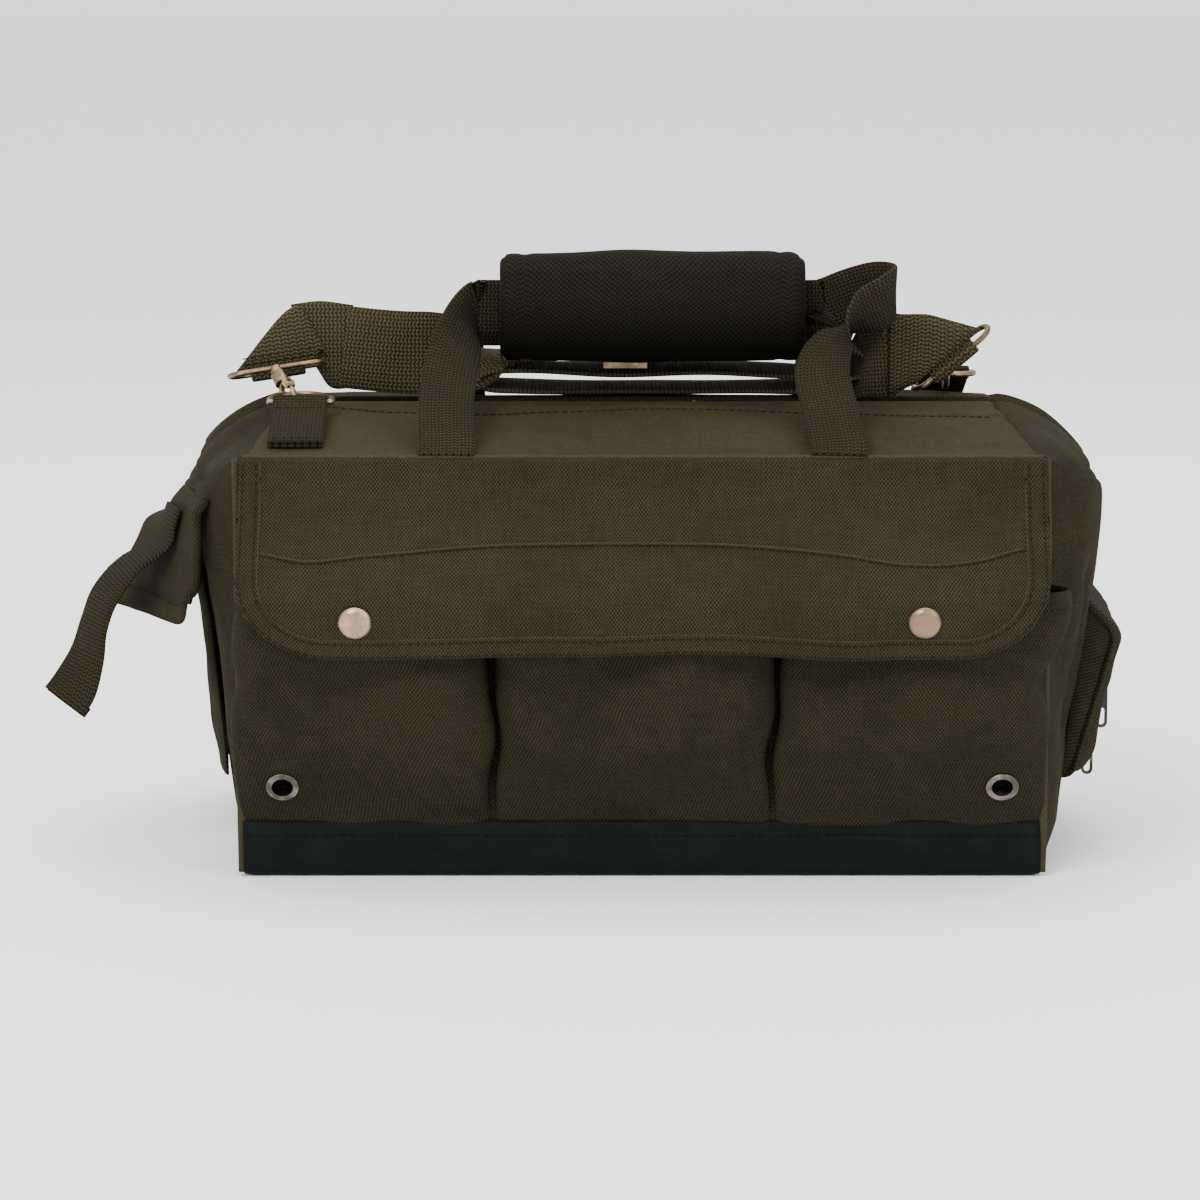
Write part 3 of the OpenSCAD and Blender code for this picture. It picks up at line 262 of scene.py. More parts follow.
# Meshes, made of points, faces and cloth places, which are millimetres across and along the cloth
def solid_faces(rings, sides, turned=False):
    """Faces of a solid made of rings of points and closed at both ends."""
    faces = []
    for row in range(0, (rings - 1) * sides, sides):
        for k in range(sides):
            p, q = row + k, row + (k + 1) % sides
            faces.append((q, p, p + sides, q + sides) if turned else (p, q, q + sides, p + sides))
    start, end = tuple(range(sides)), tuple(range((rings - 1) * sides, rings * sides))
    return faces + ([start, end[::-1]] if turned else [start[::-1], end])


def sheet_mesh(grid, thickness, out=1.0, wrap_u=False):
    """A closed sheet. Its outer face is the grid, and it is thick inwards."""
    nu, nv = grid.shape[:2]
    normals = grid_normals(grid, wrap_u) * out
    rounding = np.zeros((nu, nv, 1))
    rounding[:, [0, -1]] = EDGE_ROUND
    if not wrap_u:
        rounding[[0, -1], :] = EDGE_ROUND
    inner = grid - normals * thickness * (1 - rounding)
    outer = grid - normals * thickness * rounding
    verts = np.concatenate([outer.reshape(-1, 3), inner.reshape(-1, 3)])
    steps_u = np.linalg.norm(np.diff(grid, axis=0), axis=-1)
    steps_v = np.linalg.norm(np.diff(grid, axis=1), axis=-1)
    u = np.vstack([np.zeros((1, nv)), np.cumsum(steps_u, axis=0)])
    v = np.hstack([np.zeros((nu, 1)), np.cumsum(steps_v, axis=1)])
    cloth = points_at(u, v, 0).reshape(-1, 3)
    cloth = np.concatenate([cloth, cloth + np.array([0, 0, 1.0])])
    half = nu * nv
    flip = out < 0
    faces = []

    def at(i, j):
        return (i % nu) * nv + j

    def rim(ring):
        for a, b in zip(ring, ring[1:] + ring[:1]):
            quad = (a, half + a, half + b, b)
            faces.append(quad[::-1] if flip else quad)

    for i in range(nu if wrap_u else nu - 1):
        for j in range(nv - 1):
            quad = (at(i, j), at(i + 1, j), at(i + 1, j + 1), at(i, j + 1))
            back = tuple(half + k for k in quad[::-1])
            faces += [quad[::-1], back[::-1]] if flip else [quad, back]
    near, far = [at(i, 0) for i in range(nu)], [at(i, nv - 1) for i in range(nu)][::-1]
    if wrap_u:
        rim(near)
        rim(far)
    else:
        rim(near + [at(nu - 1, j) for j in range(1, nv - 1)] + far + [at(0, j) for j in range(nv - 2, 0, -1)])
    return verts, faces, cloth


def tube(path, radius, sides=10):
    """A round swept along a path, as a seam's cord is under the canvas."""
    path = np.asarray(path, float)
    tangents = unit(np.gradient(path, axis=0))
    side = unit(np.cross(tangents, np.array([0.0, 0.3, 1.0])))
    up = unit(np.cross(side, tangents))
    turns = np.linspace(0, 2 * math.pi, sides, endpoint=False)
    ring = side[:, None] * np.cos(turns)[None, :, None] + up[:, None] * np.sin(turns)[None, :, None]
    verts = (path[:, None] + ring * radius).reshape(-1, 3)
    cloth = points_at((turns * radius)[None, :], distances(path)[:, None], 0).reshape(-1, 3)
    return verts, solid_faces(len(path), sides), cloth


def eased(a, b, c, d, t):
    """Place between b and c on a soft curve that also passes through a and d."""
    return b + t * (c - a + t * (2 * a - 5 * b + 4 * c - d + t * (3 * b - a - 3 * c + d))) / 2


def smoothed(points, steps):
    points = np.asarray(points, float)
    last = len(points) - 1
    out = []
    for i in range(last):
        around = [points[max(i - 1, 0)], points[i], points[i + 1], points[min(i + 2, last)]]
        out += [eased(*around, k / steps) for k in range(steps)]
    out.append(points[last])
    return np.array(out)


def band_frames(stations, steps=9):
    """Centres, tangents, width directions and normals along a band."""
    centres = smoothed([s[0] for s in stations], steps)
    widths = smoothed([s[1] for s in stations], steps)
    tangents = unit(np.gradient(centres, axis=0))
    across = unit(widths - np.sum(widths * tangents, axis=1, keepdims=True) * tangents)
    return centres, tangents, across, unit(np.cross(tangents, across))


def band_mesh(stations, width, thickness, steps=9, cup=0.0, wave=0.0, seed=0):
    """Webbing swept along stations of a centre and a width direction, as in the part, with soft edges.

    cup bends it across, and wave lets its edges lift a little unevenly.
    """
    centres, _, across, normals = band_frames(stations, steps)
    half, t = width / 2, thickness / 2
    top = [(-half + 0.15, 0.45), (-half + 0.9, 0.95), (-half * 0.5, 1.0), (0, 1.0), (half * 0.5, 1.0),
           (half - 0.9, 0.95), (half - 0.15, 0.45)]
    section = np.array(top + [(u, -s) for u, s in reversed(top)])
    lengths = distances(centres)
    share = section[:, 0] / half
    lift = np.zeros((len(centres), len(section))) + cup * (share**2)[None, :]
    if wave:
        places = points_at(lengths[:, None], section[:, 0][None, :] * 2.0, 0)
        lift += wave * ripple(places, 55, seed) * (0.3 + np.abs(share) ** 2)[None, :]
        lift *= between(lengths, 0, 12, lengths[-1] - 12, lengths[-1])[:, None]
    verts = (centres[:, None] + across[:, None] * section[:, 0][None, :, None]
             + normals[:, None] * (section[:, 1][None, :, None] * t + lift[..., None]))
    cloth = points_at(section[:, 0][None, :], lengths[:, None], 0)
    return verts.reshape(-1, 3), solid_faces(len(centres), len(section), True), cloth.reshape(-1, 3)


def join(*parts):
    """One mesh out of several."""
    faces, base = [], 0
    for verts, more, _ in parts:
        faces += [tuple(k + base for k in face) for face in more]
        base += len(verts)
    return np.concatenate([part[0] for part in parts]), faces, np.concatenate([part[2] for part in parts])


def set_cloth(mesh, cloth):
    attribute = mesh.attributes.get("cloth") or mesh.attributes.new("cloth", "FLOAT_VECTOR", "POINT")
    attribute.data.foreach_set("vector", np.asarray(cloth, np.float32).ravel())


def add_piece(name, made, material, body, slot, *nodes):
    """Object out of a mesh in millimetres, on its body if it rides on one, for the CAD nodes it stands for."""
    verts, faces, cloth = made
    mesh = bpy.data.meshes.new(name)
    mesh.from_pydata((np.asarray(verts, float) * MM).tolist(), [], faces)
    mesh.validate()
    mesh.polygons.foreach_set("use_smooth", [True] * len(mesh.polygons))
    if cloth is not None:
        set_cloth(mesh, cloth)
    mesh.materials.append(material)
    mesh.update()
    obj = link(bpy.data.objects.new(name, mesh))
    if body:
        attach(obj, body)
    if nodes:
        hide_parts(*nodes)
    return obj


# Rows of stitches: each stitch is a small tapered thread that dips in at its ends
STITCH_RINGS = ((0.0, 0.35, -0.35), (0.2, 0.95, 0.1), (0.8, 0.95, 0.1), (1.0, 0.35, -0.35))
STITCH_SIDES = 5
STITCH_FACES = solid_faces(len(STITCH_RINGS), STITCH_SIDES)


def add_stitches(name, rows, body, material=None, pitch=3.6, length=2.7, radius=0.34):
    """Stitches along paths on surfaces. Each path comes with its normals, or with one normal for all of it."""
    verts, faces = [], []
    for path, normals in rows:
        both = resample(np.hstack([path, np.broadcast_to(normals, np.shape(path))]), pitch)
        rng = np.random.default_rng(len(both))
        for a, b in zip(both[:-1], both[1:]):
            start, end = a[:3], b[:3]
            along = unit(end - start)
            normal = unit(a[3:] + b[3:])
            side = unit(np.cross(along, normal))
            reach = length * rng.uniform(0.93, 1.05)
            shift = rng.uniform(-0.07, 0.07, 2)
            middle = (start + end) / 2 + side * shift[0] + along * shift[1]
            base = len(verts)
            for share, size, lift in STITCH_RINGS:
                centre = middle + along * (share - 0.5) * reach + normal * lift * radius
                for k in range(STITCH_SIDES):
                    turn = 2 * math.pi * k / STITCH_SIDES
                    verts.append(centre + (side * math.cos(turn) + normal * math.sin(turn)) * radius * size)
            faces += [tuple(base + k for k in face) for face in STITCH_FACES]
    return add_piece(name, (verts, faces, None), material or thread, body, "canvas")


# Materials, each made of nodes over the cloth places or the object's own place
class Shading:
    """A material under construction, with short ways to add nodes."""

    def __init__(self, name, roughness=0.95, metallic=0.0, gloss=0.5):
        self.material = bpy.data.materials.new(name)
        self.material.use_nodes = True
        self.tree = self.material.node_tree
        self.shader = self.tree.nodes["Principled BSDF"]
        for key, value in (("Roughness", roughness), ("Metallic", metallic), ("Specular IOR Level", gloss)):
            self.shader.inputs[key].default_value = value

    def put(self, socket, value):
        if isinstance(value, bpy.types.NodeSocket):
            self.tree.links.new(value, socket)
        else:
            socket.default_value = value

    def node(self, kind, inputs=None, **settings):
        """New node with its settings, and a value or another node's output in each of the inputs."""
        made = self.tree.nodes.new("ShaderNode" + kind)
        for key, value in settings.items():
            setattr(made, key, value)
        for key, value in (inputs or {}).items():
            self.put(made.inputs[key], value)
        return made.outputs

    def math(self, operation, *values, clamp=False):
        return self.node("Math", dict(enumerate(values)), operation=operation, use_clamp=clamp)[0]

    def add(self, a, b):
        return self.math("ADD", a, b)

    def times(self, a, b):
        return self.math("MULTIPLY", a, b)

    def wave(self, value, length):
        """Sine that changes sign after each length."""
        return self.math("SINE", self.times(value, math.pi / length))

    def rows(self, value, length):
        """Humps side by side, each as wide as the length."""
        return self.math("ABSOLUTE", self.wave(value, length))

    def ramp(self, value, low, high):
        """Value mapped so that low gives 0 and high gives 1, smoothly."""
        inputs = {"Value": value, "From Min": low, "From Max": high}
        return self.node("MapRange", inputs, interpolation_type="SMOOTHSTEP")["Result"]

    def mix(self, share, a, b):
        a, b = (c if isinstance(c, bpy.types.NodeSocket) else (*c, 1) for c in (a, b))
        return self.node("Mix", {"Factor": share, "A": a, "B": b}, data_type="RGBA")["Result"]

    def place(self):
        return self.node("TexCoord")["Object"]

    def noise(self, scale, detail=3.0, vector=None):
        """Noise over the object's own place in metres, or over a vector."""
        vector = self.place() if vector is None else vector
        inputs = {"Scale": scale, "Detail": detail, "Roughness": 0.55, "Vector": vector}
        return self.node("TexNoise", inputs)["Fac"]

    def streaks(self, vector, across, along, detail=2.0):
        """Noise over the cloth, with its scales across and along."""
        scaled = self.node("VectorMath", {0: vector, 1: (across, along, 1.0)}, operation="MULTIPLY")[0]
        return self.noise(1.0, detail, scaled)

    def split(self, vector):
        return self.node("SeparateXYZ", {0: vector})

    def cloth(self):
        """Sockets for the distance across, the distance along and both with the side of the cloth."""
        vector = self.node("Attribute", attribute_name="cloth")["Vector"]
        u, v, _ = self.split(vector)
        return u, v, vector

    def bump(self, height, distance, strength=1.0, after=None):
        """Normal raised by a height, on top of the normal after if there is one."""
        inputs = {"Strength": strength, "Distance": distance, "Height": height}
        if after is not None:
            inputs["Normal"] = after
        return self.node("Bump", inputs)["Normal"]

    def finish(self, colour, normal, roughness=None):
        self.put(self.shader.inputs["Base Color"], colour)
        self.put(self.shader.inputs["Normal"], normal)
        if roughness is not None:
            self.put(self.shader.inputs["Roughness"], roughness)
        return self.material


def tint(colour, factor):
    return tuple(min(1.0, c * factor) for c in colour)


def canvas_material(name, colour, yarn=0.78, mottle=0.3, gap=0.2, under=None):
    """Plain-woven cotton: rows of yarn tops with dark gaps, uneven thickness, and broad uneven fading.

    A pair of heights in metres as under paints shade: the cloth darkens from the upper one down to the
    lower one.
    """
    s = Shading(name, gloss=0.08)
    u, v, vector = s.cloth()
    wander = s.streaks(vector, 0.05, 0.05)
    across = s.wave(s.add(u, s.times(wander, 2.5)), yarn)
    along = s.wave(s.add(v, s.times(wander, 2.0)), 1.35 * yarn)
    tops = s.add(s.times(s.times(across, along), 0.5), 0.5)
    slub = s.add(s.streaks(vector, 0.9, 0.07), s.streaks(vector, 0.07, 0.9))
    height = s.add(tops, s.times(slub, 0.12))
    fine = s.noise(110.0)
    fading = s.add(s.times(s.noise(14.0, 4.0), 0.65), s.times(fine, 0.35))
    faded = s.mix(s.ramp(fading, 0.36, 0.64), tint(colour, 1 - mottle / 2), tint(colour, 1 + mottle / 2))
    woven = s.mix(s.ramp(height, 0.25, 1.0), tint(colour, gap), faded)
    threads = s.mix(s.ramp(slub, 0.8, 1.25), woven, tint(colour, 1.35))
    shaded = s.mix(0.14, woven, threads)
    if under:
        # Painted shade: below the upper height the cloth is mixed towards a fifth of its colour
        shaded = s.mix(s.ramp(s.split(s.place())[2], *under), tint(colour, 0.2), shaded)
    return s.finish(shaded, s.bump(fine, 0.0005, 0.4, after=s.bump(height, 0.0006)))


def webbing_material(name, colour, row=1.75, cell=1.65):
    """Coarse webbing: rows of short slanted yarns that turn about from cell to cell, with dark gaps."""
    s = Shading(name, gloss=0.08)
    u, v, vector = s.cloth()
    slanted = s.add(v, s.times(s.math("PINGPONG", u, cell), 0.5))
    cells = s.add(s.times(s.rows(u, cell), 0.6), 0.4)
    knots = s.times(s.math("POWER", s.rows(slanted, row), 0.75), cells)
    fibres = s.streaks(vector, 1.6, 0.5, 3.0)
    height = s.add(knots, s.times(fibres, 0.25))
    lit = s.mix(s.ramp(s.noise(30.0), 0.35, 0.65), tint(colour, 0.85), tint(colour, 1.18))
    lit = s.mix(s.ramp(fibres, 0.4, 0.7), tint(colour, 0.8), lit)
    return s.finish(s.mix(s.ramp(height, 0.2, 0.95), tint(colour, 0.24), lit), s.bump(height, 0.0009))


def metal_material(name, colour, worn, roughness, grain=220.0):
    """Plated metal: uneven patina, brighter where it is rubbed, with fine scratches."""
    s = Shading(name, roughness, metallic=1.0)
    patina = s.noise(grain, 4.0)
    mixed = s.mix(s.ramp(patina, 0.4, 0.68), colour, worn)
    mixed = s.mix(s.ramp(s.noise(grain / 6), 0.45, 0.7), mixed, tint(colour, 0.7))
    rough = s.math("ADD", s.times(patina, 0.3), roughness - 0.12, clamp=True)
    return s.finish(mixed, s.bump(patina, 0.00005, 0.5), rough)


def thread_material(name, colour):
    s = Shading(name, 0.9, gloss=0.15)
    twist = s.noise(1500.0, 2.0)
    shaded = s.mix(s.ramp(twist, 0.35, 0.65), tint(colour, 0.6), tint(colour, 1.2))
    return s.finish(shaded, s.bump(twist, 0.0001))


def coated_material(name, colour):
    """Canvas under a dull waterproof coating, scuffed paler in places."""
    s = Shading(name, 0.7, gloss=0.06)
    u, v, vector = s.cloth()
    scuff = s.noise(60.0, 6.0)
    streak = s.streaks(vector, 0.03, 0.4, 4.0)
    tone = s.mix(s.ramp(scuff, 0.45, 0.7), colour, tint(colour, 1.5))
    tone = s.mix(s.times(s.ramp(streak, 0.5, 0.75), 0.5), tone, tint(colour, 1.9))
    weave = s.bump(s.times(s.rows(u, 1.1), s.rows(v, 1.1)), 0.00012)
    return s.finish(tone, s.bump(scuff, 0.0006, 0.3, after=weave), s.add(s.times(scuff, 0.35), 0.4))


CANVAS_COLOUR = (0.0345, 0.0296, 0.0147)
GUSSET_COLOUR = (0.0325, 0.0283, 0.014)

canvas = canvas_material("canvas", CANVAS_COLOUR)
# Painted light: the top panels' canvas is 1.3 times lighter, with paler gaps, for light from above
canvas_top_painted_light = canvas_material("canvas_top_painted_light", tint(CANVAS_COLOUR, 1.3), gap=0.34)
# Painted shade: the pockets' canvas is the canvas drawn darker, for the shade under the front flap
canvas_dark = canvas_material("canvas_dark", (0.027, 0.0234, 0.0118))
canvas_gusset = canvas_material("canvas_gusset", GUSSET_COLOUR)
coated = coated_material("coated_canvas", (0.0026, 0.0042, 0.0039))
webbing = webbing_material("webbing", (0.03, 0.026, 0.0126))
strap_webbing = webbing_material("strap_webbing", (0.07, 0.06, 0.031), row=1.85, cell=1.8)
# The wrap's lower part is painted darker, as shade under the grip
wrap_cloth = canvas_material("wrap_cloth", (0.0125, 0.0105, 0.0062), 0.9, mottle=0.25, under=(0.226, 0.256))
tape_cloth = canvas_material("zip_tape", (0.01, 0.009, 0.0055), yarn=0.6)
# Painted shade: the ridges' cords take the canvas drawn darker, for the shade and dark stitching along them
ridge_cloth = thread_material("ridge_cloth", tint(CANVAS_COLOUR, 0.74))
seam_cloth = thread_material("seam_cloth", tint(GUSSET_COLOUR, 0.9))
thread = thread_material("thread", (0.009, 0.008, 0.0042))
dark_thread = thread_material("dark_thread", (0.0022, 0.003, 0.003))
brass = metal_material("antique_brass", (0.15, 0.105, 0.062), (0.4, 0.29, 0.18), 0.36)
nickel = metal_material("nickel", (0.29, 0.2, 0.128), (0.5, 0.365, 0.25), 0.36, grain=120.0)
dull_nickel = metal_material("dull_nickel", (0.075, 0.067, 0.057), (0.22, 0.197, 0.168), 0.34, grain=150.0)
gunmetal = metal_material("gunmetal", (0.032, 0.029, 0.027), (0.12, 0.088, 0.06), 0.38)
board = canvas_material("board", (0.02, 0.02, 0.02), yarn=0.5)


# Front flap: hangs from its seam, stands off over the full pockets, and has round lower corners
FLAP_HALF = 177.0
FLAP_TOP = 185.6
FLAP_LAP = 2.3
FLAP_BOTTOM = 103.0
FLAP_CORNER = 38.0
FLAP_FLAT = FLAP_HALF - FLAP_CORNER
FLAP_STAND_OFF = 34.5
FLAP_SHARES = (
    (0, 0.02), (0.1, 0.08), (0.28, 0.28), (0.44, 0.58), (0.58, 0.87), (0.68, 0.99), (0.76, 1), (0.88, 0.955),
    (1, 0.88),
)
FLAP_WAVE = (
    (-177, 150), (-164, 148.5), (-150, 146), (-120, 148), (-60, 152), (0, 152.5), (40, 152), (90, 148),
    (110, 145), (150, 146.5), (164, 150), (177, 151),
)
HEM_W = 9.0
HEM_H = 1.15
BAND_H = 0.55
SNAP_X = (-125.0, 122.0)
SNAP_Z = 120.0
CALM_REACH = 34.0


def away_from(x, z, places, height, near, far):
    """0 near fittings at one height, rising to 1 away from them."""
    return np.prod([smooth(near, far, np.hypot(x - place, z - height)) for place in places], axis=0)


def flap_y(x, z):
    """Outer face of the flap: the part's own curve, with soft sags kept off the snaps."""
    drop = np.clip((FLAP_TOP - z) / (FLAP_TOP - FLAP_BOTTOM), -0.02, 1.05)
    base = -WALL_Y - 0.4 - CANVAS - straight(FLAP_SHARES, drop) * FLAP_STAND_OFF
    points = points_at(x, 0, z)
    calm = away_from(x, z, SNAP_X, SNAP_Z, CALM_REACH * 0.4, CALM_REACH)
    free = drop * calm
    broad = ripple(points, 85, 11, (1.3, 1, 0.8)) * 2.4 * free
    fine = ripple(points, 34, 12, (1.4, 1, 0.8)) * 0.8 * np.minimum(free + 0.2, 1)
    fine = fine + ripple(points, 15, 13, (1.3, 1, 1)) * 0.18
    fold = -2.4 * bell(z - follow(FLAP_WAVE, x) - 4, 8) * between(x, -176, -130, 130, 176)
    fold = fold + 3.0 * bell(x - 150 + 0.9 * (z - 170), 9) * bell(z - 170, 12)
    lift = 2.0 * drop**3 * smooth(60, 0, np.abs(x))
    lift = lift - 1.2 * drop**3 * np.cos(x / 23) * smooth(FLAP_HALF, 120, np.abs(x))
    turned_in = 1.5 * smooth(FLAP_TOP + 0.3, FLAP_TOP + 2.4, z)
    return base + broad + fine + fold * 0.5 + turned_in - lift * calm


def flap_lower(x):
    """Height of the flap's lower edge, higher between the snaps than at them."""
    over = np.maximum(np.abs(x) - FLAP_FLAT, 0)
    corner = FLAP_CORNER - np.sqrt(np.maximum(FLAP_CORNER**2 - over**2, 0))
    wave = 1.9 * smooth(110, 30, np.abs(x)) + 0.5 * np.sin(x / 17) * smooth(150, 100, np.abs(x))
    return FLAP_BOTTOM + corner + wave


def flap_flat_lower(x):
    """Height of the flap's lower edge as if it had no round corners."""
    return flap_lower(np.clip(x, 1 - FLAP_FLAT, FLAP_FLAT - 1))


def flap_point(x, z, out=0.0):
    return points_at(x, flap_y(x, z) - out, z)


def flap_edge(inset):
    """Line a set distance in from the flap's free edge, from the upper left round to the upper right."""
    side_length = FLAP_TOP - FLAP_BOTTOM - FLAP_CORNER
    r = FLAP_CORNER - inset
    total = 2 * side_length + math.pi * r + 2 * FLAP_FLAT
    places = np.linspace(0, total, 220)
    s = np.minimum(places, total - places)
    turn = np.clip((s - side_length) / r, 0, math.pi / 2)
    x = FLAP_FLAT + r * np.cos(turn) - np.maximum(s - side_length - math.pi * r / 2, 0)
    z = FLAP_BOTTOM + FLAP_CORNER - r * np.sin(turn) + np.maximum(side_length - s, 0)
    x = np.where(places < total / 2, -x, x)
    wave = flap_flat_lower(x) - FLAP_BOTTOM
    return x, z + wave * smooth(FLAP_BOTTOM + FLAP_CORNER, FLAP_BOTTOM + inset, z)


def hem_raise(x, z):
    """How far the doubled hem stands proud of the flap, rounded over at the edge and at its inner line."""
    corner_x = np.abs(x) - FLAP_FLAT
    corner_z = FLAP_BOTTOM + FLAP_CORNER - z
    inside = np.where((corner_x > 0) & (corner_z > 0), FLAP_CORNER - np.hypot(corner_x, corner_z),
                      np.minimum(FLAP_HALF - np.abs(x), z - flap_flat_lower(x)))
    hem = HEM_H * smooth(HEM_W + 0.8, HEM_W - 0.5, inside) - 0.6 * smooth(1.4, 0, inside)
    upper = BAND_H * smooth(-0.7, 0.6, z - follow(FLAP_WAVE, x)) * smooth(HEM_W - 1, HEM_W + 1, inside)
    return hem + upper


def hinge_flap(obj):
    """Bakes the flap's placing into its mesh."""
    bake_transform(obj)


def build_flap():
    curve = FLAP_HALF - FLAP_CORNER * (1 - np.sin(np.linspace(0, 1, 27)[1:] * math.pi / 2))
    columns = np.concatenate([np.linspace(-FLAP_FLAT, FLAP_FLAT, 130), curve, -curve, [-FLAP_HALF, FLAP_HALF]])
    columns = np.unique(columns)[:, None]
    shares = np.concatenate([
        [0, 0.009, 0.018, 0.028], np.linspace(0.045, 0.38, 14), np.linspace(0.39, 0.52, 16),
        np.linspace(0.55, 0.82, 12), np.linspace(0.83, 1, 17),
    ])
    z = FLAP_TOP + FLAP_LAP + (flap_lower(columns) - FLAP_TOP - FLAP_LAP) * shares[None, :]
    x = np.broadcast_to(columns, z.shape)
    verts, faces, cloth = sheet_mesh(flap_point(x, z, hem_raise(x, z)), CANVAS + 0.3, out=-1.0)
    cloth[:, 0] = verts[:, 0]
    made = verts, faces, cloth
    hinge_flap(add_piece("flap_canvas", made, canvas, None, "canvas", "front_flap", "flap_band"))
    rows = []
    for inset in (HEM_W - 1.2, 1.6):
        x, z = flap_edge(inset)
        rows.append((flap_point(x, z, hem_raise(x, z) + 0.1), -surface_normals(flap_point, x, z)))
    x = np.linspace(-167, 167, 110)
    z = follow(FLAP_WAVE, x) - 0.9
    rows.append((flap_point(x, z, 0.05), -surface_normals(flap_point, x, z)))
    hinge_flap(add_stitches("flap_stitches", rows, None, radius=BOLD_THREAD))
    edge_x, edge_z = flap_edge(HEM_W + 0.5)
    made = join(
        tube(flap_point(x, follow(FLAP_WAVE, x) + 0.1, 0.15), FLAP_SEAM, 8),
        tube(flap_point(edge_x, edge_z, hem_raise(edge_x, edge_z) - 0.1), HEM_SEAM, 8),
    )
    hinge_flap(add_piece("flap_ridges", made, ridge_cloth, None, "canvas"))


# Snap caps: domed with a rolled rim, a shank through the flap and a socket behind it. The profile has pairs of
# radius and height
CAP_PROFILE = (
    (0.0, 2.0), (1.6, 1.96), (3.2, 1.84), (4.6, 1.58), (5.6, 1.22), (6.4, 0.72), (6.95, 0.15), (7.3, -0.35),
    (7.5, -0.75), (7.45, -1.05), (7.0, -1.2), (1.9, -1.2), (1.9, -4.0), (4.4, -4.0), (4.4, -5.0), (0.0, -5.0),
)
CAP_TILT = math.radians(13.0)
CAP_STAND = 0.9
CAP_SIDES = 40


def build_caps():
    turns = np.linspace(0, 2 * math.pi, CAP_SIDES, endpoint=False)
    out = np.array([0.0, -math.cos(CAP_TILT), -math.sin(CAP_TILT)])
    up = np.array([0.0, -math.sin(CAP_TILT), math.cos(CAP_TILT)])
    side = np.array([1.0, 0.0, 0.0])
    rings = len(CAP_PROFILE) - 2
    last = 1 + (rings - 1) * CAP_SIDES
    faces = []
    for k in range(CAP_SIDES):
        n = (k + 1) % CAP_SIDES
        faces += [(0, 1 + n, 1 + k), (last + k, last + n, last + CAP_SIDES)]
        for a in range(1, last, CAP_SIDES):
            faces.append((a + k, a + n, a + n + CAP_SIDES, a + k + CAP_SIDES))
    caps = []
    for x in SNAP_X:
        centre = flap_point(np.array(x), np.array(SNAP_Z), CAP_STAND)
        verts = [centre + out * CAP_PROFILE[0][1]]
        for radius, height in CAP_PROFILE[1:-1]:
            verts += [centre + out * height + radius * (math.cos(a) * side + math.sin(a) * up) for a in turns]
        verts.append(centre + out * CAP_PROFILE[-1][1])
        caps.append((np.array(verts), faces, np.zeros((len(verts), 3))))
    add_piece("snap_cap_metal", join(*caps), nickel, "flap", "nickel", "snap_caps")


# Front pockets: three deep patch pockets with rounded sides, full at mid height and drawn in at foot and hem
POCKET_FOOT = 25.2
POCKET_TOP = 132.0
POCKET_BULGE = 30.0
POCKET_POWER = 2 / 5.5
POCKET_HEM_Z = 121.0
POCKET_ROW_Z = 123.6
SPLITS = (-66.0, 58.0)
POCKET_SHARES = ((0, 0.054), (0.34, 0.648), (0.5, 0.76), (0.7, 0.85), (0.88, 0.96), (1, 1))
POCKETS = (
    ("pocket_left", -177.0, -67.5, 31),
    ("pocket_middle", -64.5, 56.5, 32),
    ("pocket_right", 59.5, 177.0, 33),
)
EYELET_X = (-159.0, 159.0)
EYELET_Y = -103.7
EYELET_Z = 42.3
EYELET_AXIS = (0, -0.8977, -0.4406)
EYELET_HOLE = 5.6
EYELET_DEPTH = 9.0


def recall_cloth(mesh, places, cloth):
    """Gives each point of a cut mesh the cloth place of the nearest point of the mesh before the cut."""
    tree = KDTree(len(places))
    for index, place in enumerate(places):
        tree.insert(Vector(place) * MM, index)
    tree.balance()
    set_cloth(mesh, [cloth[tree.find(vertex.co)[1]] for vertex in mesh.vertices])


def pierce(obj, place, axis, radius, depth, sides=40):
    """Cuts a round hole through a finished mesh at a place given in millimetres."""
    turn = Vector(axis).to_track_quat("Z", "Y").to_matrix()
    verts = []
    for end in (-1, 1):
        for k in range(sides):
            a = 2 * math.pi * k / sides
            point = turn @ Vector((radius * math.cos(a), radius * math.sin(a), end * depth))
            verts.append((Vector(place) + point) * MM)
    mesh = bpy.data.meshes.new("cutter")
    mesh.from_pydata(verts, [], solid_faces(2, sides))
    cutter = link(bpy.data.objects.new("cutter", mesh))
    modifier = obj.modifiers.new("hole", "BOOLEAN")
    modifier.operation = "DIFFERENCE"
    modifier.solver = "EXACT"
    modifier.object = cutter
    bpy.context.view_layer.update()
    graph = bpy.context.evaluated_depsgraph_get()
    pierced = obj.evaluated_get(graph)
    cut = bpy.data.meshes.new_from_object(pierced, preserve_all_data_layers=True, depsgraph=graph)
    obj.modifiers.clear()
    obj.data = cut
    bpy.data.objects.remove(cutter)


